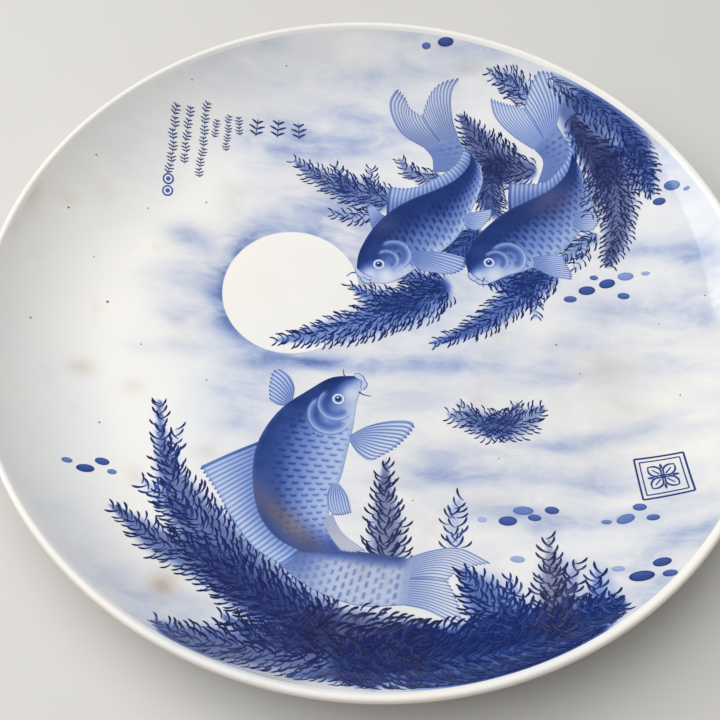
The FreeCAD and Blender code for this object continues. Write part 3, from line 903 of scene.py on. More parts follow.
foot_outline = [foot_side(FOOT_HEIGHT + GLAZE, 1), foot_side(FOOT_HEIGHT + GLAZE, -1)]
foot_outline += [foot_side(BARE_FOOT + 0.1, -1), foot_side(EDGE_ROUND, -1)]
foot_outline += [(FOOT_MIDDLE - FOOT_HALF_EDGE + EDGE_ROUND * (1 - math.cos(t)),
                  EDGE_ROUND * (1 - math.sin(t))) for t in np.linspace(0.2, math.pi / 2, 6)]
foot_outline += [(FOOT_MIDDLE + FOOT_HALF_EDGE - EDGE_ROUND * (1 - math.cos(t)),
                  EDGE_ROUND * (1 - math.sin(t))) for t in np.linspace(math.pi / 2, 0.2, 6)]
foot_outline += [foot_side(EDGE_ROUND, 1), foot_side(BARE_FOOT + 0.1, 1)]
foot = spin("bare_foot_ring", foot_outline, SPIN_STEPS, BARE_CLAY)
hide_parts("foot_ring")
print("back, recess, foot:", [len(item.data.polygons) for item in (back, recess, foot)])

# %% [markdown]
# ## Waterweed with Geometry Nodes
#
# The weed is hundreds of short comma-shaped brushmarks that leave a stem on both sides, over a
# softer blue wash. That is a thing that repeats along a path, so Geometry Nodes lay it out: each
# stem is a curve that carries the frond's half width, the tree walks along it in even steps,
# sets several marks side by side across the width, turns each one outwards from the stem and
# varies its size. One brushmark is a thin closed strip of 26 faces.

# %% One brushmark
MARK_WIDTH = 0.064


def brushmark(name, side):
    """A comma one millimetre long lying along +X, bending to one side, thickest near its tip."""
    stations = np.linspace(0, 1, 7)
    widths = MARK_WIDTH * np.array([0.3, 0.62, 0.85, 1.05, 1.3, 1.2, 0.4])
    middle = np.column_stack([stations - 0.16 * stations**3 - 0.36, side * 0.52 * stations**2.1])
    heading = np.gradient(middle, axis=0)
    heading /= np.linalg.norm(heading, axis=1)[:, None]
    across = np.column_stack([-heading[:, 1], heading[:, 0]]) * widths[:, None]
    rails = [middle + across, middle - across]
    places = [(x, y, z) for z in (0.0, -SHEET_DEPTH) for rail in rails for x, y in rail]
    count = len(stations)
    faces = []
    for at in range(count - 1):
        left, right, left_low, right_low = at, at + count, at + 2 * count, at + 3 * count
        faces.append((left, right, right + 1, left + 1))
        faces.append((left_low, left_low + 1, right_low + 1, right_low))
        faces.append((left, left + 1, left_low + 1, left_low))
        faces.append((right, right_low, right_low + 1, right + 1))
    faces.append((0, 2 * count, 3 * count, count))
    last = count - 1
    faces.append((last, last + count, last + 3 * count, last + 2 * count))
    mesh = bpy.data.meshes.new(name)
    mesh.from_pydata(places, [], faces)
    mesh.attributes.new("along", "FLOAT", "POINT").data.foreach_set("value", np.tile(stations, 4))
    return bpy.data.objects.new(name, mesh)


# %% [markdown]
# The tree reads width, direction, tone and mark length from the stem's points. Marks on the left
# and the right of a stem are two mirrored shapes, picked by the side on which they stand, and a
# random lift keeps marks that cross from lying in the same plane.

# %% The tree that grows a frond
def build_frond_tree():
    """Brushmarks on both sides of stems, laid out flat in millimetres."""
    tree = bpy.data.node_groups.new("waterweed_fronds", "GeometryNodeTree")
    tree.interface.new_socket("Geometry", in_out="INPUT", socket_type="NodeSocketGeometry")
    for title, value in (("Row Spacing", 3.4), ("Side Spacing", 2.9), ("Spread", 1.5),
                         ("Stack", 0.07)):
        tree.interface.new_socket(title, in_out="INPUT",
                                  socket_type="NodeSocketFloat").default_value = value
    tree.interface.new_socket("Seed", in_out="INPUT", socket_type="NodeSocketInt")
    for title in ("Left Mark", "Right Mark"):
        tree.interface.new_socket(title, in_out="INPUT", socket_type="NodeSocketObject")
    tree.interface.new_socket("Finish", in_out="INPUT", socket_type="NodeSocketMaterial")
    tree.interface.new_socket("Geometry", in_out="OUTPUT", socket_type="NodeSocketGeometry")
    into, out = tree.nodes.new("NodeGroupInput").outputs, tree.nodes.new("NodeGroupOutput")

    def random_value(low, high, salt):
        """A random number of each mark's own."""
        seed = node(tree, "FunctionNodeIntegerMath", {"operation": "ADD"},
                    _0=into["Seed"], _1=salt).outputs[0]
        made = node(tree, "FunctionNodeRandomValue", {"data_type": "FLOAT"}, Seed=seed)
        made.inputs[2].default_value, made.inputs[3].default_value = low, high
        return made.outputs[1]

    def vector(operation, *values):
        """The vector output of a Vector Math node."""
        return node(tree, "ShaderNodeVectorMath", {"operation": operation},
                    **{f"_{index}": value for index, value in enumerate(values)}).outputs[0]

    def carried(title, kind="FLOAT"):
        """A value that the stems' points carry."""
        return node(tree, "GeometryNodeInputNamedAttribute", {"data_type": kind},
                    Name=title).outputs[0]

    paths = node(tree, "GeometryNodeMeshToCurve", Mesh=into["Geometry"])
    stems = node(tree, "GeometryNodeResampleCurve", {"mode": "LENGTH"},
                 Curve=paths.outputs[0], Length=into["Row Spacing"])
    points = node(tree, "GeometryNodeCurveToPoints", {"mode": "EVALUATED"}, Curve=stems.outputs[0])
    reach, stem = carried("half_width"), carried("stem", "FLOAT_VECTOR")
    amount = maths(tree, "MAXIMUM", maths(tree, "ROUND", maths(
        tree, "DIVIDE", maths(tree, "MULTIPLY", reach, 2.0), into["Side Spacing"])), 1.0)
    copies = node(tree, "GeometryNodeDuplicateElements", {"domain": "POINT"},
                  Geometry=points.outputs["Points"], Amount=amount)
    place = maths(tree, "ADD", copies.outputs["Duplicate Index"], random_value(0.05, 0.95, 1))
    across = maths(tree, "MULTIPLY_ADD", maths(tree, "DIVIDE", place, amount), 2.0, -1.0)
    keep = node(tree, "GeometryNodeStoreNamedAttribute", {"data_type": "FLOAT", "domain": "POINT"},
                Geometry=copies.outputs["Geometry"], Name="across", Value=across)
    across = carried("across")
    sideways = vector("CROSS_PRODUCT", (0.0, 0.0, 1.0), stem)
    beside = node(tree, "ShaderNodeVectorMath", {"operation": "SCALE"}, _0=sideways,
                  Scale=maths(tree, "MULTIPLY", across, reach)).outputs[0]
    ahead = node(tree, "ShaderNodeVectorMath", {"operation": "SCALE"}, _0=stem,
                 Scale=random_value(-1.2, 1.2, 2)).outputs[0]
    above = node(tree, "ShaderNodeCombineXYZ", Z=maths(
        tree, "MULTIPLY", into["Stack"], random_value(0.0, 1.0, 6))).outputs[0]
    shift = vector("ADD", vector("ADD", beside, ahead), above)
    moved = node(tree, "GeometryNodeSetPosition", Geometry=keep.outputs[0], Offset=shift)
    parts = node(tree, "ShaderNodeSeparateXYZ", Vector=stem).outputs
    heading = maths(tree, "ARCTAN2", parts["Y"], parts["X"])
    outwards = maths(tree, "MULTIPLY", maths(tree, "SIGN", across), maths(
        tree, "MULTIPLY_ADD", maths(tree, "ABSOLUTE", across), 0.3, 0.7))
    turn = maths(tree, "ADD", heading, maths(tree, "MULTIPLY_ADD", outwards, into["Spread"],
                                             random_value(-0.14, 0.14, 3)))
    size = random_value(0.84, 1.14, 4)
    marks = node(tree, "GeometryNodeJoinGeometry")
    for title in ("Right Mark", "Left Mark"):
        info = node(tree, "GeometryNodeObjectInfo", Object=into[title])
        single = node(tree, "GeometryNodeGeometryToInstance", Geometry=info.outputs["Geometry"])
        tree.links.new(single.outputs[0], marks.inputs[0])
    grown = node(
        tree, "GeometryNodeInstanceOnPoints", Points=moved.outputs[0], Instance=marks.outputs[0],
        Pick_Instance=True, Instance_Index=maths(tree, "GREATER_THAN", across, 0.0),
        Rotation=node(tree, "ShaderNodeCombineXYZ", Z=turn).outputs[0],
        Scale=node(tree, "ShaderNodeCombineXYZ",
                   X=maths(tree, "MULTIPLY", carried("mark"), size),
                   Y=maths(tree, "MULTIPLY", carried("mark"), size), Z=1.0).outputs[0])
    toned = node(tree, "GeometryNodeStoreNamedAttribute",
                 {"data_type": "FLOAT", "domain": "INSTANCE"},
                 Geometry=grown.outputs[0], Name="strength", Value=random_value(0.0, 1.0, 5))
    real = node(tree, "GeometryNodeRealizeInstances", Geometry=toned.outputs[0])
    final = node(tree, "GeometryNodeSetMaterial", Geometry=real.outputs[0],
                 Material=into["Finish"])
    tree.links.new(final.outputs[0], out.inputs[0])
    return tree


FROND_TREE = build_frond_tree()
print("frond tree:", len(FROND_TREE.nodes), "nodes")


# %% [markdown]
# The layers differ in brush, seed and lift. Each one grows flat, becomes a plain mesh, and only
# then is pressed onto the curved face, because pressing needs the formula and not the tree.

# %% Grow the fronds
def unit(vectors):
    """The same directions with length one."""
    return vectors / np.maximum(np.linalg.norm(vectors, axis=1), 1e-9)[:, None]


def stem_object(layer):
    """The stems of one layer as chains of edges that carry width, direction and tone."""
    places, edges, widths, headings, inks, browns, marks = [], [], [], [], [], [], []
    for frond_layer, wash, brown, mark, stem in FRONDS:
        if frond_layer != layer:
            continue
        line = flowing(stem, 8 * len(stem))
        start = len(places)
        places += [(x, y, 0.0) for x, y in line[:, :2]]
        edges += [(start + at, start + at + 1) for at in range(len(line) - 1)]
        widths += list(np.maximum(line[:, 2] * 0.97 + 0.6, THINNEST_STEM))
        heading = unit(np.gradient(line[:, :2], axis=0))
        headings += [value for x, y in heading for value in (x, y, 0.0)]
        inks += [0.82 + 0.22 * wash] * len(line)
        marks += [mark] * len(line)
        browns += [brown] * len(line)
    mesh = bpy.data.meshes.new(f"{layer}_stems")
    mesh.from_pydata(places, edges, [])
    for title, values in (("half_width", widths), ("ink", inks), ("iron", browns),
                          ("mark", marks)):
        mesh.attributes.new(title, "FLOAT", "POINT").data.foreach_set("value", values)
    mesh.attributes.new("stem", "FLOAT_VECTOR", "POINT").data.foreach_set("vector", headings)
    stems = bpy.data.objects.new(f"{layer}_stems", mesh)
    scene.collection.objects.link(stems)
    return stems


# Marks that would run over the lip are eased back: past this radius they crowd up towards the edge.
EDGE_EASE = 187.0
EDGE_MARGIN = 0.8
EDGE_ROOM = PAINTED_EDGE - EDGE_MARGIN - EDGE_EASE

# The smaller brush of the upper layers.
SMALL_BRUSH = {"Row Spacing": 2.7, "Side Spacing": 2.4}


def grow_weed(name, layer, lift, seed, **inputs):
    """The brushmarks of one layer, grown flat by the tree and then pressed onto the face."""
    stems = stem_object(layer)
    modifier = stems.modifiers.new("fronds", "NODES")
    modifier.node_group = FROND_TREE
    values = {"Seed": seed, "Left Mark": LEFT_MARK, "Right Mark": RIGHT_MARK,
              "Finish": WEED_PAINT, **inputs}
    for socket in FROND_TREE.interface.items_tree:
        if socket.name in values:
            modifier[socket.identifier] = values[socket.name]
    stems.update_tag()
    bpy.context.view_layer.update()
    evaluated = stems.evaluated_get(bpy.context.evaluated_depsgraph_get())
    mesh = bpy.data.meshes.new_from_object(evaluated)
    bpy.data.objects.remove(stems)
    count = len(mesh.vertices)
    flat = np.empty(3 * count)
    mesh.vertices.foreach_get("co", flat)
    flat = flat.reshape(-1, 3)
    read = {}
    for title in ("along", "strength", "ink"):
        read[title] = np.empty(count)
        mesh.attributes[title].data.foreach_get("value", read[title])
    plan = flat[:, :2]
    radius = np.maximum(np.hypot(*plan.T), 1e-6)
    beyond = np.maximum(radius - EDGE_EASE, 0)
    eased = EDGE_EASE + EDGE_ROOM * np.tanh(beyond / EDGE_ROOM)
    plan = plan * np.where(beyond > 0, eased / radius, 1.0)[:, None]
    mesh.vertices.foreach_set("co", press(plan, lift + flat[:, 2]).reshape(-1))
    tone = read["ink"] + 0.22 * (read["strength"] - 0.5) + 0.16 * (read["along"] - 0.5)
    mesh.attributes.new("tone", "FLOAT", "POINT").data.foreach_set("value", tone)
    mesh.update()
    mesh.name = name
    print(name, "has", len(mesh.polygons), "faces")
    return root_piece(name, mesh)


LEFT_MARK, RIGHT_MARK = brushmark("left_mark", 1.0), brushmark("right_mark", -1.0)
for mark in (LEFT_MARK, RIGHT_MARK):
    scene.collection.objects.link(mark)
far_weed = grow_weed("far_weed", "far", 0.04, 3)
near_weed = grow_weed("near_weed", "near", 0.26, 8)
upper_far_weed = grow_weed("upper_far_weed", "upper far", 0.04, 5, **SMALL_BRUSH)
upper_near_weed = grow_weed("upper_near_weed", "upper near", 0.26, 9, **SMALL_BRUSH)
for mark in (LEFT_MARK, RIGHT_MARK):
    bpy.data.objects.remove(mark)

# %% [markdown]
# ## Fins as fans
#
# A fin is drawn as a fan of fine rays between four edges: its first ray, its last ray, its root
# and its tip. Blending the four edges into a grid (a Coons patch) gives a sheet whose columns run
# along the rays, so the rays come out crisp from very few vertices. The brush starts dark at the
# root and runs dry towards the tip, where the membrane between the rays is torn back a little.

# %% Fans
RAY_SAMPLES = 5


def edge_line(points, share):
    """A smooth line through a few points, sampled at chosen shares of its length."""
    fine = flowing(points, 200)
    walked = walked_along(fine)
    walked /= walked[-1]
    return np.column_stack([np.interp(share, walked, fine[:, axis]) for axis in (0, 1)])


def fan(first, last, tip, lift, root=None, rays=14, tone=0.5, drop=0.5, ray_tone=0.3, edge=0.3,
        tear=0.05, iron=0.0):
    """A fan-shaped sheet of rays between a first and a last ray, a root line and a tip line."""
    across = np.linspace(0, 1, rays * RAY_SAMPLES + 1)
    length = steps_of(first).sum()
    along = np.linspace(0, 1, max(12, int(length / 0.9)))
    start = edge_line(root or [first[0], last[0]], across)
    end = edge_line(tip, across)
    one, other = edge_line(first, along), edge_line(last, along)
    s = across[None, :, None]
    ray = 0.5 + 0.5 * np.cos(2 * math.pi * rays * (across - 0.5 / rays))
    reach = along[:, None] * (1 - tear * (1 - ray)[None, :] * along[:, None] ** 4)
    one = np.stack([np.interp(reach, along, one[:, axis]) for axis in (0, 1)], -1)
    other = np.stack([np.interp(reach, along, other[:, axis]) for axis in (0, 1)], -1)
    t = reach[..., None]
    corners = ((1 - s) * (1 - t) * start[0] + s * (1 - t) * start[-1]
               + (1 - s) * t * end[0] + s * t * end[-1])
    plan = (1 - s) * one + s * other + (1 - t) * start[None] + t * end[None] - corners
    share = along[:, None]
    paint = tone * (1 - drop * smooth(0.0, 0.9, share))
    paint = paint + 1.15 * ray_tone * ray**3 * (0.6 + 0.4 * share)
    rim = np.exp(-((1 - share) / 0.03) ** 2) * 0.18
    side = np.exp(-(across / 0.02) ** 2) + 0.6 * np.exp(-((1 - across) / 0.02) ** 2)
    paint = np.clip(paint + rim + edge * side[None, :], 0.03, 0.97)
    return plan, lift, {"tone": paint, "iron": iron}


# %% [markdown]
# ## The body of a carp
#
# A carp's back is one loaded brushstroke, nearly black-blue along the spine, and its flank fades
# to the white of the belly, stippled with rows of half-moon scales. The body is a grid between the
# back line and the belly line, so "across" is always 0 on the back and 1 on the belly, and one set
# of formulas paints all three fish. The head is more shading on the same grid, with the gill
# covers as two discs that are only seen on their tail side.

# %% Bodies
SCALE_LENGTH = 3.5
SCALE_WIDTH = 4.6
BODY_CELL = 0.55
STEM_ROWS, STEM_COLUMNS = 56, 34


def ruled_grid(top, low, columns):
    """A grid between two edge lines, its middle line, the way walked (s) and the share across (v)."""
    across = np.linspace(0, 1, columns)
    plan = top[:, None] * (1 - across)[None, :, None] + low[:, None] * across[None, :, None]
    middle = (top + low) / 2
    s = np.broadcast_to(walked_along(middle)[:, None], plan.shape[:2])
    v = np.broadcast_to(across[None, :], plan.shape[:2])
    return plan, middle, s, v


def scale_marks(s, v, width):
    """One short, slightly bent touch in the middle of each scale, in staggered columns."""
    rows = max(3, round(float(width) / SCALE_WIDTH))
    column = np.floor(s / SCALE_LENGTH)
    a = s / SCALE_LENGTH - column - 0.5
    b = np.mod(v * rows + 0.5 * np.mod(column, 2), 1.0) - 0.5
    return np.exp(-((a - 0.12 + 1.1 * b**2) / 0.17) ** 2) * (1 - smooth(0.2, 0.4, np.abs(b)))


def carp_body(back, belly, lift, plates, spots, head, iron_spot=None, dark=0.94, pale=0.3,
              flank=1.0):
    """The body sheet: plates are (x, y, radius), spots are pale or dark (x, y, size, tone)."""
    length = (steps_of(flowing(back, 60)).sum() + steps_of(flowing(belly, 60)).sum()) / 2
    count = int(length / BODY_CELL)
    top, low = flowing(back, count), flowing(belly, count)
    widths = np.linalg.norm(top - low, axis=1)
    plan, middle, s, v = ruled_grid(top, low, int(widths.max() / BODY_CELL))
    x, y = plan[..., 0], plan[..., 1]
    shade = np.interp(v, [0, 0.05, 0.3, 0.45, 0.62, 0.8, 0.95, 1.0],
                      [dark - 0.06, dark, dark - 0.04, 0.74 * flank, 0.56 * flank, 0.44 * flank,
                       pale, pale + 0.05])
    marks = scale_marks(s, v, np.median(widths))
    scaled = smooth(head - 3.0, head + 6.0, s) * smooth(0.12, 0.5, v) * (1 - smooth(0.93, 1.0, v))
    paint = shade + 0.3 * marks * scaled - 0.03 * scaled
    face_shade = np.interp(v, [0, 0.06, 0.35, 0.55, 0.75, 1.0],
                           [0.9, 0.94, 0.88, 0.66, 0.44, 0.28])
    faced = face_shade + (paint - face_shade) * smooth(head - 6, head, s)
    paint = np.where(s < head, faced, paint)
    for px, py, size, value in spots:
        near = np.exp(-((x - px) ** 2 + (y - py) ** 2) / size**2)
        paint = paint + (value - paint) * near
    tail_way = middle[min(count - 1, int(head / BODY_CELL) + 12)] - middle[0]
    tail_way = tail_way / np.linalg.norm(tail_way)
    for px, py, radius in sorted(plates, key=lambda plate: -plate[2]):
        gap = np.hypot(x - px, y - py) / radius
        facing = ((x - px) * tail_way[0] + (y - py) * tail_way[1]) / np.maximum(gap * radius, 1e-3)
        seen = smooth(-0.35, 0.15, facing) * (gap < 1.07)
        plate = np.interp(gap, [0.4, 0.65, 0.8, 0.9, 0.98, 1.02, 1.07],
                          [0.82, 0.78, 0.62, 0.46, 0.34, 0.68, 0.6])
        plate = plate * (1.25 - 0.55 * v)
        paint = paint + (plate - paint) * seen * smooth(0.25, 0.7, gap)
    line = (np.exp(-(v * widths[:, None] / 0.5) ** 2)
            + 0.7 * np.exp(-((1 - v) * widths[:, None] / 0.5) ** 2))
    snout = np.exp(-(s / 0.6) ** 2)
    paint = np.maximum(paint, 0.66 * np.clip(line + 0.8 * snout, 0, 1))
    iron = 0.0
    if iron_spot:
        *place, amount = iron_spot
        iron = amount * soft_spot(x, y, *place)
        paint = paint + (0.55 - paint) * 0.6 * iron
    return plan, lift, {"tone": np.clip(paint, 0.05, 0.95), "iron": iron}


def tail_stem(one, other, lift, dark=0.72, pale=0.4, fade=0.85, iron=0.1, root_tone=0.48):
    """The narrow part before the tail fin, as a scaled strip between two edges."""
    top, low = flowing(one, STEM_ROWS), flowing(other, STEM_ROWS)
    plan, _, s, v = ruled_grid(top, low, STEM_COLUMNS)
    marks = scale_marks(s, v, np.linalg.norm(top - low, axis=1).mean())
    paint = dark + (pale - dark) * smooth(0.02, fade, v) + 0.3 * marks * smooth(0.1, 0.4, v)
    paint = paint + (0.85 * dark - paint) * (1 - smooth(8.0, 34.0, s)) * (1 - 0.5 * v)
    paint = paint + (root_tone - paint) * smooth(s.max() - 7, s.max(), s)
    edge = np.exp(-(v / 0.03) ** 2) + np.exp(-((1 - v) / 0.03) ** 2)
    return plan, lift, {"tone": np.clip(np.maximum(paint, 0.5 * edge), 0.05, 0.95), "iron": iron}


# %% [markdown]
# The last details of a fish are single strokes: the eye with its rings, two fleshy lips and the
# barbels. They lie a little above the body so that they always cover it.

# %% Eyes, lips and lines
def brush_line(points, widths, lift, tone=0.85, iron=0.0):
    """A thin strip along a smooth path: widths are given from its start to its end."""
    length = steps_of(points).sum()
    count = max(6, int(length / 0.8))
    path = flowing(points, count)
    width = np.interp(np.linspace(0, 1, count), np.linspace(0, 1, len(widths)), widths) / 2
    heading = unit(np.gradient(path, axis=0))
    across = np.column_stack([-heading[:, 1], heading[:, 0]]) * width[:, None]
    return np.stack([path - across, path + across], 1), lift, {"tone": tone, "iron": iron}


def ringed_disc(x, y, radius, lift, stops, squash=1.0, steps=20):
    """A round dab whose tone follows (share of the radius, tone) stops."""
    grid = disc_grid(steps)
    tone = np.interp(np.hypot(grid[..., 0], grid[..., 1]), *zip(*stops))
    return grid * (radius, radius * squash) + (x, y), lift, {"tone": tone}


EYE_STOPS = [(0, 0.97), (0.36, 0.97), (0.42, 0.62), (0.62, 0.55), (0.68, 0.10), (0.88, 0.06),
             (0.94, 0.5), (1.0, 0.72)]


def carp_eye(x, y, radius, lift):
    """A pale ring, a blue ring and a black pupil with a glint left white."""
    return [ringed_disc(x, y, radius, lift, EYE_STOPS),
            ringed_disc(x - 0.1 * radius, y + 0.2 * radius, 0.13 * radius, lift + 0.02,
                        [(0, 0.02), (1, 0.02)], steps=4)]


def pale_lip(points, width, lift):
    """A fleshy lip: a pale swelling stroke with a thin dark outline."""
    swell = [0.35 * width, width, width, 0.5 * width]
    return [brush_line(points, [value + 0.9 for value in swell], lift, 0.66),
            brush_line(points, swell, lift + 0.015, 0.24)]


FAN_LIFT, STEM_LIFT, BODY_LIFT, OVER_LIFT, EYE_LIFT = 0.13, 0.15, 0.18, 0.20, 0.22

# %% [markdown]
# The three fish share the functions above and differ in their outlines. The sheets are
# listed roughly from the lowest up: tail, tail stem, back fin, body, the fins over it, the face.

# %% The upper left carp
left_carp = [
    fan([(22, 131), (10, 139), (3, 150), (1, 160), (5, 168)], [(31, 136), (26, 143), (20, 152)],
        [(5, 168), (10, 163), (13, 157), (20, 152)], FAN_LIFT, rays=11, tone=0.42, drop=0.5,
        ray_tone=0.36, iron=0.2),
    fan([(31, 136), (26, 143), (20, 152)], [(41, 141), (38, 150), (36.5, 160), (37, 168), (41, 174)],
        [(20, 152), (22, 160), (25, 167), (31, 172), (41, 174)], FAN_LIFT + 0.01, rays=12,
        tone=0.42, drop=0.5, ray_tone=0.36, iron=0.2),
    tail_stem([(28, 114), (27, 124), (22, 131)], [(49, 116), (46, 128), (41, 141)], STEM_LIFT,
              0.62, 0.42),
    fan([(3, 79), (3, 92), (4, 102.5)], [(50, 129), (47, 131), (45, 131)],
        [(4, 102.5), (14, 102), (24, 106), (33, 113), (41, 121), (45, 131)], STEM_LIFT + 0.01,
        root=[(3, 79), (14, 89), (28, 97.5), (40, 105), (49, 118), (50, 129)], rays=24, tone=0.56,
        drop=0.5, ray_tone=0.26),
    fan([(-4, 71), (-6, 79), (-8, 87)], [(2, 82), (-1, 84), (-4, 88)],
        [(-8, 87), (-6, 88.5), (-4, 88)], FAN_LIFT + 0.02, rays=7, tone=0.5),
    carp_body([(-11.5, 47), (-10.5, 57), (-5, 71), (4, 84), (16, 94), (30, 102), (41, 110),
               (48, 120), (49, 128)],
              [(-10, 41), (-2, 37.5), (9, 39), (22.9, 50.2), (34.7, 61), (43.1, 71.5),
               (49.4, 86.8), (55.8, 107.9), (55, 120)],
              BODY_LIFT, [(4.5, 52.5, 6.5), (8.5, 56.5, 9.2)],
              [(5, 42, 6, 0.14), (-4, 43, 4, 0.2), (15, 45, 4, 0.2), (-2, 57, 5, 0.85)], 19.0, flank=1.1,
              iron_spot=(2, 76, 9, 9, 0, 0.3)),
    fan([(18, 54), (22, 48), (30, 46.5)], [(20, 60), (35, 60), (48, 57)],
        [(30, 46.5), (40, 46), (47, 50), (48, 57)], OVER_LIFT, rays=11, tone=0.46, drop=0.45,
        ray_tone=0.34, edge=0.1),
    fan([(46, 86), (54, 89), (62, 91)], [(47, 78), (52, 76), (56, 78)],
        [(62, 91), (61, 85), (56, 78)], OVER_LIFT, rays=9, tone=0.4, drop=0.4),
    *carp_eye(0.5, 49.5, 3.3, EYE_LIFT),
    *pale_lip([(-11.5, 45.5), (-9.5, 42.5), (-6, 40.5), (-3, 40)], 2.6, EYE_LIFT),
    *pale_lip([(-8.5, 40.5), (-6.5, 38.3), (-3.5, 37.6)], 2.2, EYE_LIFT + 0.03),
    brush_line([(-12, 43), (-14, 43), (-16.5, 40.5)], [0.9, 0.5, 0.3], EYE_LIFT, 0.75),
    brush_line([(-3.5, 38), (-2.5, 35), (0, 33)], [0.8, 0.5, 0.3], EYE_LIFT, 0.75),
]
upper_left_carp = lay_sheets("upper_left_carp", left_carp, FISH_PAINT)
print("upper left carp:", len(upper_left_carp.data.polygons), "faces")

# %% [markdown]
# The second carp swims beside the first and partly behind the weed. Its body has a brown flash
# near the tail, where the cobalt fired to iron.

# %% The upper right carp
right_carp = [
    fan([(84, 132), (72, 141), (62, 152), (58.5, 163)], [(90, 138), (84, 148), (78, 156)],
        [(58.5, 163), (66, 160), (72, 158), (78, 156)], FAN_LIFT, rays=11, tone=0.38, drop=0.5,
        ray_tone=0.36),
    fan([(90, 138), (84, 148), (78, 156)], [(97, 145), (98, 158), (93, 171)],
        [(78, 156), (80, 165), (84, 173), (93, 171)], FAN_LIFT + 0.01, rays=11, tone=0.38,
        drop=0.5, ray_tone=0.36),
    tail_stem([(87, 110), (90, 124), (84, 133)], [(107, 114), (105, 130), (97, 145)], STEM_LIFT,
              0.64, 0.44),
    fan([(71, 86), (70.5, 99), (71, 110)], [(107, 138), (104, 140.5), (101, 141)],
        [(71, 110), (82, 110), (91, 111), (98, 118), (104, 128), (101, 141)], STEM_LIFT + 0.01,
        root=[(71, 86), (82, 95), (94, 103), (104, 112), (109, 126), (107, 138)], rays=22,
        tone=0.6, drop=0.45, ray_tone=0.24),
    carp_body([(49, 48), (47.5, 57), (52, 69), (60, 80), (70, 90), (82, 98), (94, 106),
               (103, 116), (106, 128)],
              [(51, 43), (60, 41.5), (70, 47), (82, 52), (95, 60), (106, 72), (114, 86),
               (117, 100), (112, 116)],
              BODY_LIFT, [(64, 56, 6.8), (70.5, 58.5, 10)],
              [(63, 47, 6, 0.16), (55, 46, 4, 0.22), (74, 49, 4, 0.26), (56, 62, 6, 0.85)], 22.0,
              iron_spot=(94, 99, 16, 10, 30, 0.55), pale=0.36),
    fan([(84, 60), (92, 62), (101, 62)], [(85, 53), (95, 48), (105, 46.5)],
        [(101, 62), (103, 56), (105.5, 50), (105, 46.5)], OVER_LIFT, rays=11, tone=0.44,
        ray_tone=0.38, edge=0.1),
    fan([(108, 91), (115, 92), (122, 91)], [(106, 82), (112, 79), (118, 80)],
        [(122, 91), (121, 85), (118, 80)], OVER_LIFT, rays=9, tone=0.44),
    *carp_eye(60.3, 55, 3.1, EYE_LIFT),
    *pale_lip([(49.5, 47.5), (51.5, 44.5), (55, 43)], 2.4, EYE_LIFT),
    *pale_lip([(53, 43.3), (56, 41.8), (60, 41.8)], 2.2, EYE_LIFT + 0.03),
    brush_line([(58, 45), (57, 42), (57.5, 39)], [0.8, 0.5, 0.3], EYE_LIFT + 0.05, 0.75),
]
upper_right_carp = lay_sheets("upper_right_carp", right_carp, FISH_PAINT)
print("upper right carp:", len(upper_right_carp.data.polygons), "faces")

# %% [markdown]
# The third carp bends in a half circle, so its tail stem is a strip that starts under the body. A
# brown band crosses its back, and its flank is paler than those of the other two.

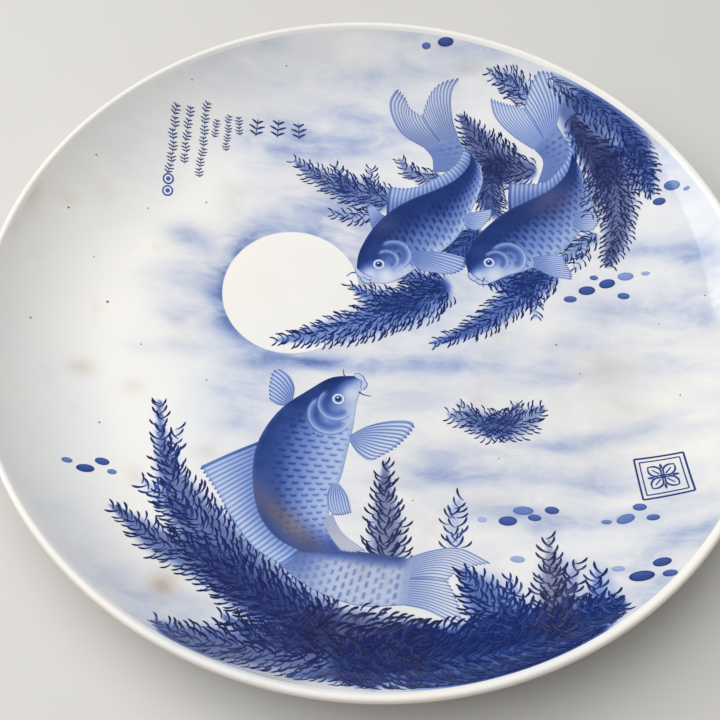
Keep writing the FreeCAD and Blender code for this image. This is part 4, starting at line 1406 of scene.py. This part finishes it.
# %% The lower carp
low_carp = [
    fan([(22, -121), (34, -116), (48, -114), (63, -121)], [(24, -131), (33, -130.5), (42, -131)],
        [(63, -121), (55, -123), (46, -127), (42, -131)], FAN_LIFT, rays=12, tone=0.33, drop=0.6,
        ray_tone=0.42, iron=0.15),
    fan([(24, -131), (33, -130.5), (42, -131)], [(21, -145), (33, -147.5), (48, -156)],
        [(42, -131), (46, -139), (48.5, -148), (48, -156)], FAN_LIFT + 0.01, rays=12, tone=0.33,
        drop=0.6, ray_tone=0.42, iron=0.15),
    tail_stem([(-40, -115), (-24, -118), (-8, -118.5), (7, -119.5), (25, -121)],
              [(-42, -125), (-28, -136), (-14, -143), (2, -147), (23, -145)], STEM_LIFT,
              0.78, 0.26, 0.34, 0.2, 0.39),
    fan([(-52, -62), (-67, -70.5), (-82, -80)], [(-27, -120), (-32, -125), (-37, -129)],
        [(-82, -80), (-72, -93), (-63, -107), (-51, -121), (-37, -129)], STEM_LIFT + 0.01,
        root=[(-52, -62), (-53, -80), (-49, -99), (-39, -112), (-27, -120)], rays=26,
        tone=0.46, drop=0.5, ray_tone=0.28),
    fan([(-39, -37), (-39, -30), (-42, -24), (-47, -20)], [(-41, -41), (-46, -41.5), (-51, -39)],
        [(-47, -20), (-51, -22), (-52, -31), (-51, -39)], STEM_LIFT + 0.02, rays=9, tone=0.44,
        drop=0.5, ray_tone=0.42),
    carp_body([(-7, -21), (-20, -23), (-31, -31), (-45, -44), (-54, -62), (-55.5, -80),
               (-51, -101), (-41, -114.5), (-27, -121.5)],
              [(-5, -22.5), (-4, -27), (-6.5, -36), (-7.5, -50), (-9.5, -64), (-12, -80),
               (-16.5, -95), (-14, -109), (-2, -119)],
              BODY_LIFT, [(-17, -38.5, 9.3), (-19.5, -44.5, 11.5)],
              [(-9, -32, 5, 0.2), (-8, -44, 4, 0.25), (-28, -33, 6, 0.84), (-27, -119, 9, 0.78),
               (-14, -118, 7, 0.72), (-4, -119, 6, 0.74)], 32.0,
              iron_spot=(-38, -105, 32, 6.5, -44, 1.0), dark=0.83, flank=0.82),
    fan([(-9, -56), (0, -50), (10, -46.5), (20, -45.5), (24, -48)],
        [(-9, -59), (-5, -65), (0, -69), (4, -69)],
        [(24, -48), (21, -54), (14, -62), (4, -69)], OVER_LIFT, rays=12, tone=0.4, drop=0.55,
        ray_tone=0.42),
    fan([(-16, -83), (-18, -90), (-17, -97), (-14, -101)], [(-12, -84), (-8, -90), (-5.5, -99)],
        [(-15, -101), (-10, -101), (-5.5, -100)], OVER_LIFT, rays=8, tone=0.38, drop=0.4,
        ray_tone=0.4),
    fan([(-15, -100), (-9, -110), (3, -118.5)], [(-19, -104), (-15, -112), (-9, -119.5)],
        [(3, -118.5), (-3, -120), (-9, -119.5)], OVER_LIFT, rays=6, tone=0.3, drop=0.3,
        ray_tone=0.2, edge=0.15, iron=0.5),
    *carp_eye(-16, -35.5, 3.3, EYE_LIFT),
    *pale_lip([(-9, -20.5), (-6, -21.5), (-3.6, -24)], 2.6, EYE_LIFT),
    *pale_lip([(-4, -23.5), (-3.2, -26), (-4.4, -28.5)], 2.4, EYE_LIFT + 0.03),
    brush_line([(-13, -22.5), (-14.2, -20.5), (-14.5, -17.5)], [0.9, 0.5, 0.3], EYE_LIFT, 0.75),
    brush_line([(-6, -30.5), (-3, -32), (0.5, -32.5)], [0.9, 0.5, 0.3], EYE_LIFT, 0.75),
]
lower_carp = lay_sheets("lower_carp", low_carp, FISH_PAINT)
print("lower carp:", len(lower_carp.data.polygons), "faces")

# %% [markdown]
# ## Duckweed, seal and sprigs
#
# Small leaves of duckweed float between the fish. Each is one touch of a full brush, so it is dark
# in the middle and has a darker line where the wash dried. A plain square seal with a flower in it
# stands low on the right, and columns of tiny sprigs fill the upper left.

# %% Duckweed
# Each dab is (x, y, width, height, tone, tilt in degrees).
DABS = [
    (-145, -85, 5, 3, 0.6, 0), (-136, -87.5, 8.5, 4.5, 0.85, 5), (-129, -82, 7, 4, 0.8, -5),
    (-123.5, -87, 4.5, 2.8, 0.6, 0), (20, 189, 5, 3, 0.7, 0), (31, 190.5, 9, 4, 0.85, 0),
    (158, 100, 8, 5, 0.7, -20), (152, 93, 6.5, 4, 0.8, -10), (165, 96, 3, 2, 0.6, 0),
    (104, 34, 7, 4, 0.75, 5), (113, 40, 9, 5.5, 0.85, 10), (124, 45, 9, 5.5, 0.85, 20),
    (117, 48.5, 4.5, 3, 0.7, 0), (134, 50, 8.5, 5, 0.5, 5), (144.5, 51.5, 4.5, 2.5, 0.4, 0),
    (132.5, 37.5, 6.5, 4, 0.75, 0), (78, -92, 10, 4.5, 0.6, 3), (70.5, -98, 9, 5, 0.8, 5),
    (83.5, -95.5, 6.5, 3.5, 0.75, 0), (92, -91, 7, 4, 0.8, 0), (58, -98, 4.5, 3, 0.35, 0),
    (75, -118, 7, 3.5, 0.4, 0), (134, -88.5, 6.5, 4, 0.75, 0), (127, -95, 9, 5, 0.65, 20),
    (139.5, -95, 6, 3.5, 0.75, 0), (118, -96.5, 5, 2.5, 0.6, 0), (140, -122, 8, 5, 0.85, 10),
    (130.5, -129, 11, 6, 0.9, 5), (142, -129.5, 6, 4, 0.8, 0), (121, -123.5, 6, 3, 0.4, 0),
]
DAB_LIFT = 0.2


def dab(x, y, width, height, tone, tilt, lift=DAB_LIFT, iron=0.0):
    """One oval touch of the brush."""
    grid = disc_grid(10)
    reach = np.hypot(grid[..., 0], grid[..., 1])
    angle = math.radians(tilt)
    long, short = grid[..., 0] * width / 2, grid[..., 1] * height / 2
    plan = np.stack([x + long * math.cos(angle) - short * math.sin(angle),
                     y + long * math.sin(angle) + short * math.cos(angle)], -1)
    paint = tone * (0.92 + 0.12 * smooth(0.7, 0.95, reach) - 0.1 * smooth(-0.5, 0.8, grid[..., 1]))
    return plan, lift, {"tone": paint, "iron": iron}


duckweed = lay_sheets("duckweed", [dab(*values) for values in DABS], LINE_PAINT)
print("duckweed:", len(DABS), "leaves")

# %% [markdown]
# The seal is drawn in a square of its own and then turned and set in place. It is a double frame
# around a four-petalled flower, made of the same strokes as the fish's lines.

# %% The seal
SEAL_CENTRE = np.array([146.3, -71.3])
SEAL_HALF = 11.8
SEAL_TURN = math.radians(7.0)


def on_seal(points):
    """Points of the seal's own square, turned and set in place."""
    turn = np.array([[math.cos(SEAL_TURN), math.sin(SEAL_TURN)],
                     [-math.sin(SEAL_TURN), math.cos(SEAL_TURN)]])
    return [tuple(point) for point in np.asarray(points, float) @ turn + SEAL_CENTRE]


def seal_frame(half, width):
    """Four straight strokes that make a square."""
    corners = [(-half, -half), (half, -half), (half, half), (-half, half)]
    return [brush_line(on_seal([corners[at], corners[(at + 1) % 4]]), [width, width],
                       DAB_LIFT + 0.003 * at, 0.86) for at in range(4)]


def spoke(way, *reaches):
    """Points at the given distances from the seal's centre, all in one direction."""
    return [(reach * math.cos(way), reach * math.sin(way)) for reach in reaches]


seal = seal_frame(SEAL_HALF, 0.9) + seal_frame(SEAL_HALF - 2.2, 0.6)
for quarter in range(4):
    corner_way = quarter * math.pi / 2 + math.pi / 4
    for side in (-1, 1):
        petal = [(0.9, 0.0), (3.4, 2.4 * side), (6.6, 2.2 * side), (8.8, 0.0)]
        petal = [(px * math.cos(corner_way) - py * math.sin(corner_way),
                  px * math.sin(corner_way) + py * math.cos(corner_way)) for px, py in petal]
        seal.append(brush_line(on_seal(petal), [0.6, 0.95, 0.95, 0.5], DAB_LIFT + 0.02, 0.84))
    vein = spoke(corner_way, 2.2, 6.4)
    seal.append(brush_line(on_seal(vein), [0.8, 0.5], DAB_LIFT + 0.03, 0.8))
    bud = spoke(corner_way - math.pi / 4, 4.4, 7.4)
    seal.append(brush_line(on_seal(bud), [0.5, 1.5, 0.5], DAB_LIFT + 0.03, 0.82))
seal.append(ringed_disc(*on_seal([(0, 0)])[0], 1.3, DAB_LIFT + 0.03, [(0, 0.8), (1, 0.85)],
                        steps=6))
flower_seal = lay_sheets("flower_seal", seal, LINE_PAINT)
print("seal:", len(flower_seal.data.polygons), "faces")

# %% [markdown]
# A sprig is a short stem with three pairs of leaves. Loops set them in columns, with a fixed seed
# for the small leans and offsets that a hand leaves.

# %% Columns of sprigs
# Each column is (x, top y, bottom y, size, step).
SPRIG_COLUMNS = [(-84, 137, 127, 5.6, 5.6), (-90, 137, 117, 5.4, 5.6), (-97, 133, 126, 5.4, 5.6),
                 (-103, 141, 97, 6.2, 6.6), (-112, 136, 103, 6.2, 6.8), (-119.5, 135, 100, 6.4, 6.8)]
LARGE_SPRIGS = [(-50, 136, 10.5), (-62, 136, 11), (-74, 135, 10.5)]


def sprig(x, y, size, tilt):
    """A short stem with three pairs of leaves, each leaf one touch of the brush."""
    along = np.array([math.sin(tilt), math.cos(tilt)])
    side = np.array([along[1], -along[0]])
    foot_point = np.array([x, y]) - along * size / 2
    made = [brush_line([tuple(foot_point), tuple(foot_point + along * size)],
                       [size * 0.05, size * 0.04], DAB_LIFT, 0.8)]
    for rung, spread in ((0.18, 0.36), (0.5, 0.42), (0.82, 0.3)):
        for way in (-1, 1):
            start = foot_point + along * size * (rung - 0.1)
            tip = start + side * way * size * spread + along * size * 0.22
            bend = (start + tip) / 2 + along * size * 0.02 - side * way * size * 0.02
            made.append(brush_line([tuple(start), tuple(bend), tuple(tip)],
                                   [size * 0.04, size * 0.13, size * 0.05], DAB_LIFT + 0.01, 0.86))
    return made


sprig_luck = np.random.default_rng(11)
sprigs = []
for x, y, size in LARGE_SPRIGS:
    sprigs += sprig(x, y, size, sprig_luck.uniform(-0.15, 0.15))
for column_x, top_y, bottom_y, size, step in SPRIG_COLUMNS:
    for y in np.arange(top_y, bottom_y - 0.5, -step):
        sprigs += sprig(column_x + sprig_luck.uniform(-0.4, 0.4), y, size,
                        sprig_luck.uniform(-0.25, 0.25))
for x, y in ((-119.5, 94.5), (-119, 87)):
    sprigs.append(ringed_disc(x, y, 3.0, DAB_LIFT, [(0, 0.7), (0.35, 0.7), (0.5, 0.03),
                                                    (0.68, 0.03), (0.78, 0.8), (1, 0.8)], 1.15))
sprig_columns = lay_sheets("sprig_columns", sprigs, LINE_PAINT)
print("sprigs:", len(sprig_columns.data.polygons), "faces")

# %% [markdown]
# Iron grit in the clay burns through the glaze as dark pinholes. The clay body under the painted
# pieces gets the finish of bare clay.

# %% Specks, slots and the clay underneath
# Iron specks burnt through the glaze: (x, y, size).
SPECKS = [(-168, 62, 0.9), (-141, 12, 1.2), (-128, 74, 0.7), (-152, 38, 0.6), (-97, 82, 0.8),
          (-158, 96, 0.7), (-120, -12, 0.7), (-70, 62, 0.6), (-176, -8, 0.8), (-112, 152, 0.7),
          (96, 5, 0.8), (108, -12, 0.6), (-16, -62, 0.7), (158, -24, 0.7), (24, -90, 0.6),
          (-84, -30, 0.7), (150, 20, 0.6), (-134, -60, 0.8), (-60, 172, 0.7), (66, -64, 0.5)]
specks = lay_sheets("iron_specks", [dab(x, y, size, 0.85 * size, 0.98, 30, 0.3, 1.0)
                                    for x, y, size in SPECKS], LINE_PAINT)

for material_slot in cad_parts["clay_body"].material_slots:
    material_slot.material = BARE_CLAY
print("specks:", len(SPECKS))

# %% [markdown]
# The dish stands on a plain pale floor, which only catches its shadow.

# %% Floor
def lay_floor():
    """A plain pale floor under the dish."""
    mesh = bpy.data.meshes.new("studio_floor")
    half = 2.5
    mesh.from_pydata([(-half, -half, 0), (half, -half, 0), (half, half, 0), (-half, half, 0)],
                     [], [(0, 1, 2, 3)])
    material, tree, shader = new_finish("studio_floor", 0.85)
    where = node(tree, "ShaderNodeTexCoord").outputs["Object"]
    cloud = node(tree, "ShaderNodeTexNoise", Vector=where, Scale=4.0, Detail=3.0).outputs["Fac"]
    tree.links.new(colour_ramp(tree, cloud, [(0.3, 0.60, 0.585, 0.56), (0.7, 0.64, 0.625, 0.6)]),
                   shader.inputs["Base Color"])
    mesh.materials.append(material)
    floor = bpy.data.objects.new("studio_floor", mesh)
    scene.collection.objects.link(floor)


lay_floor()
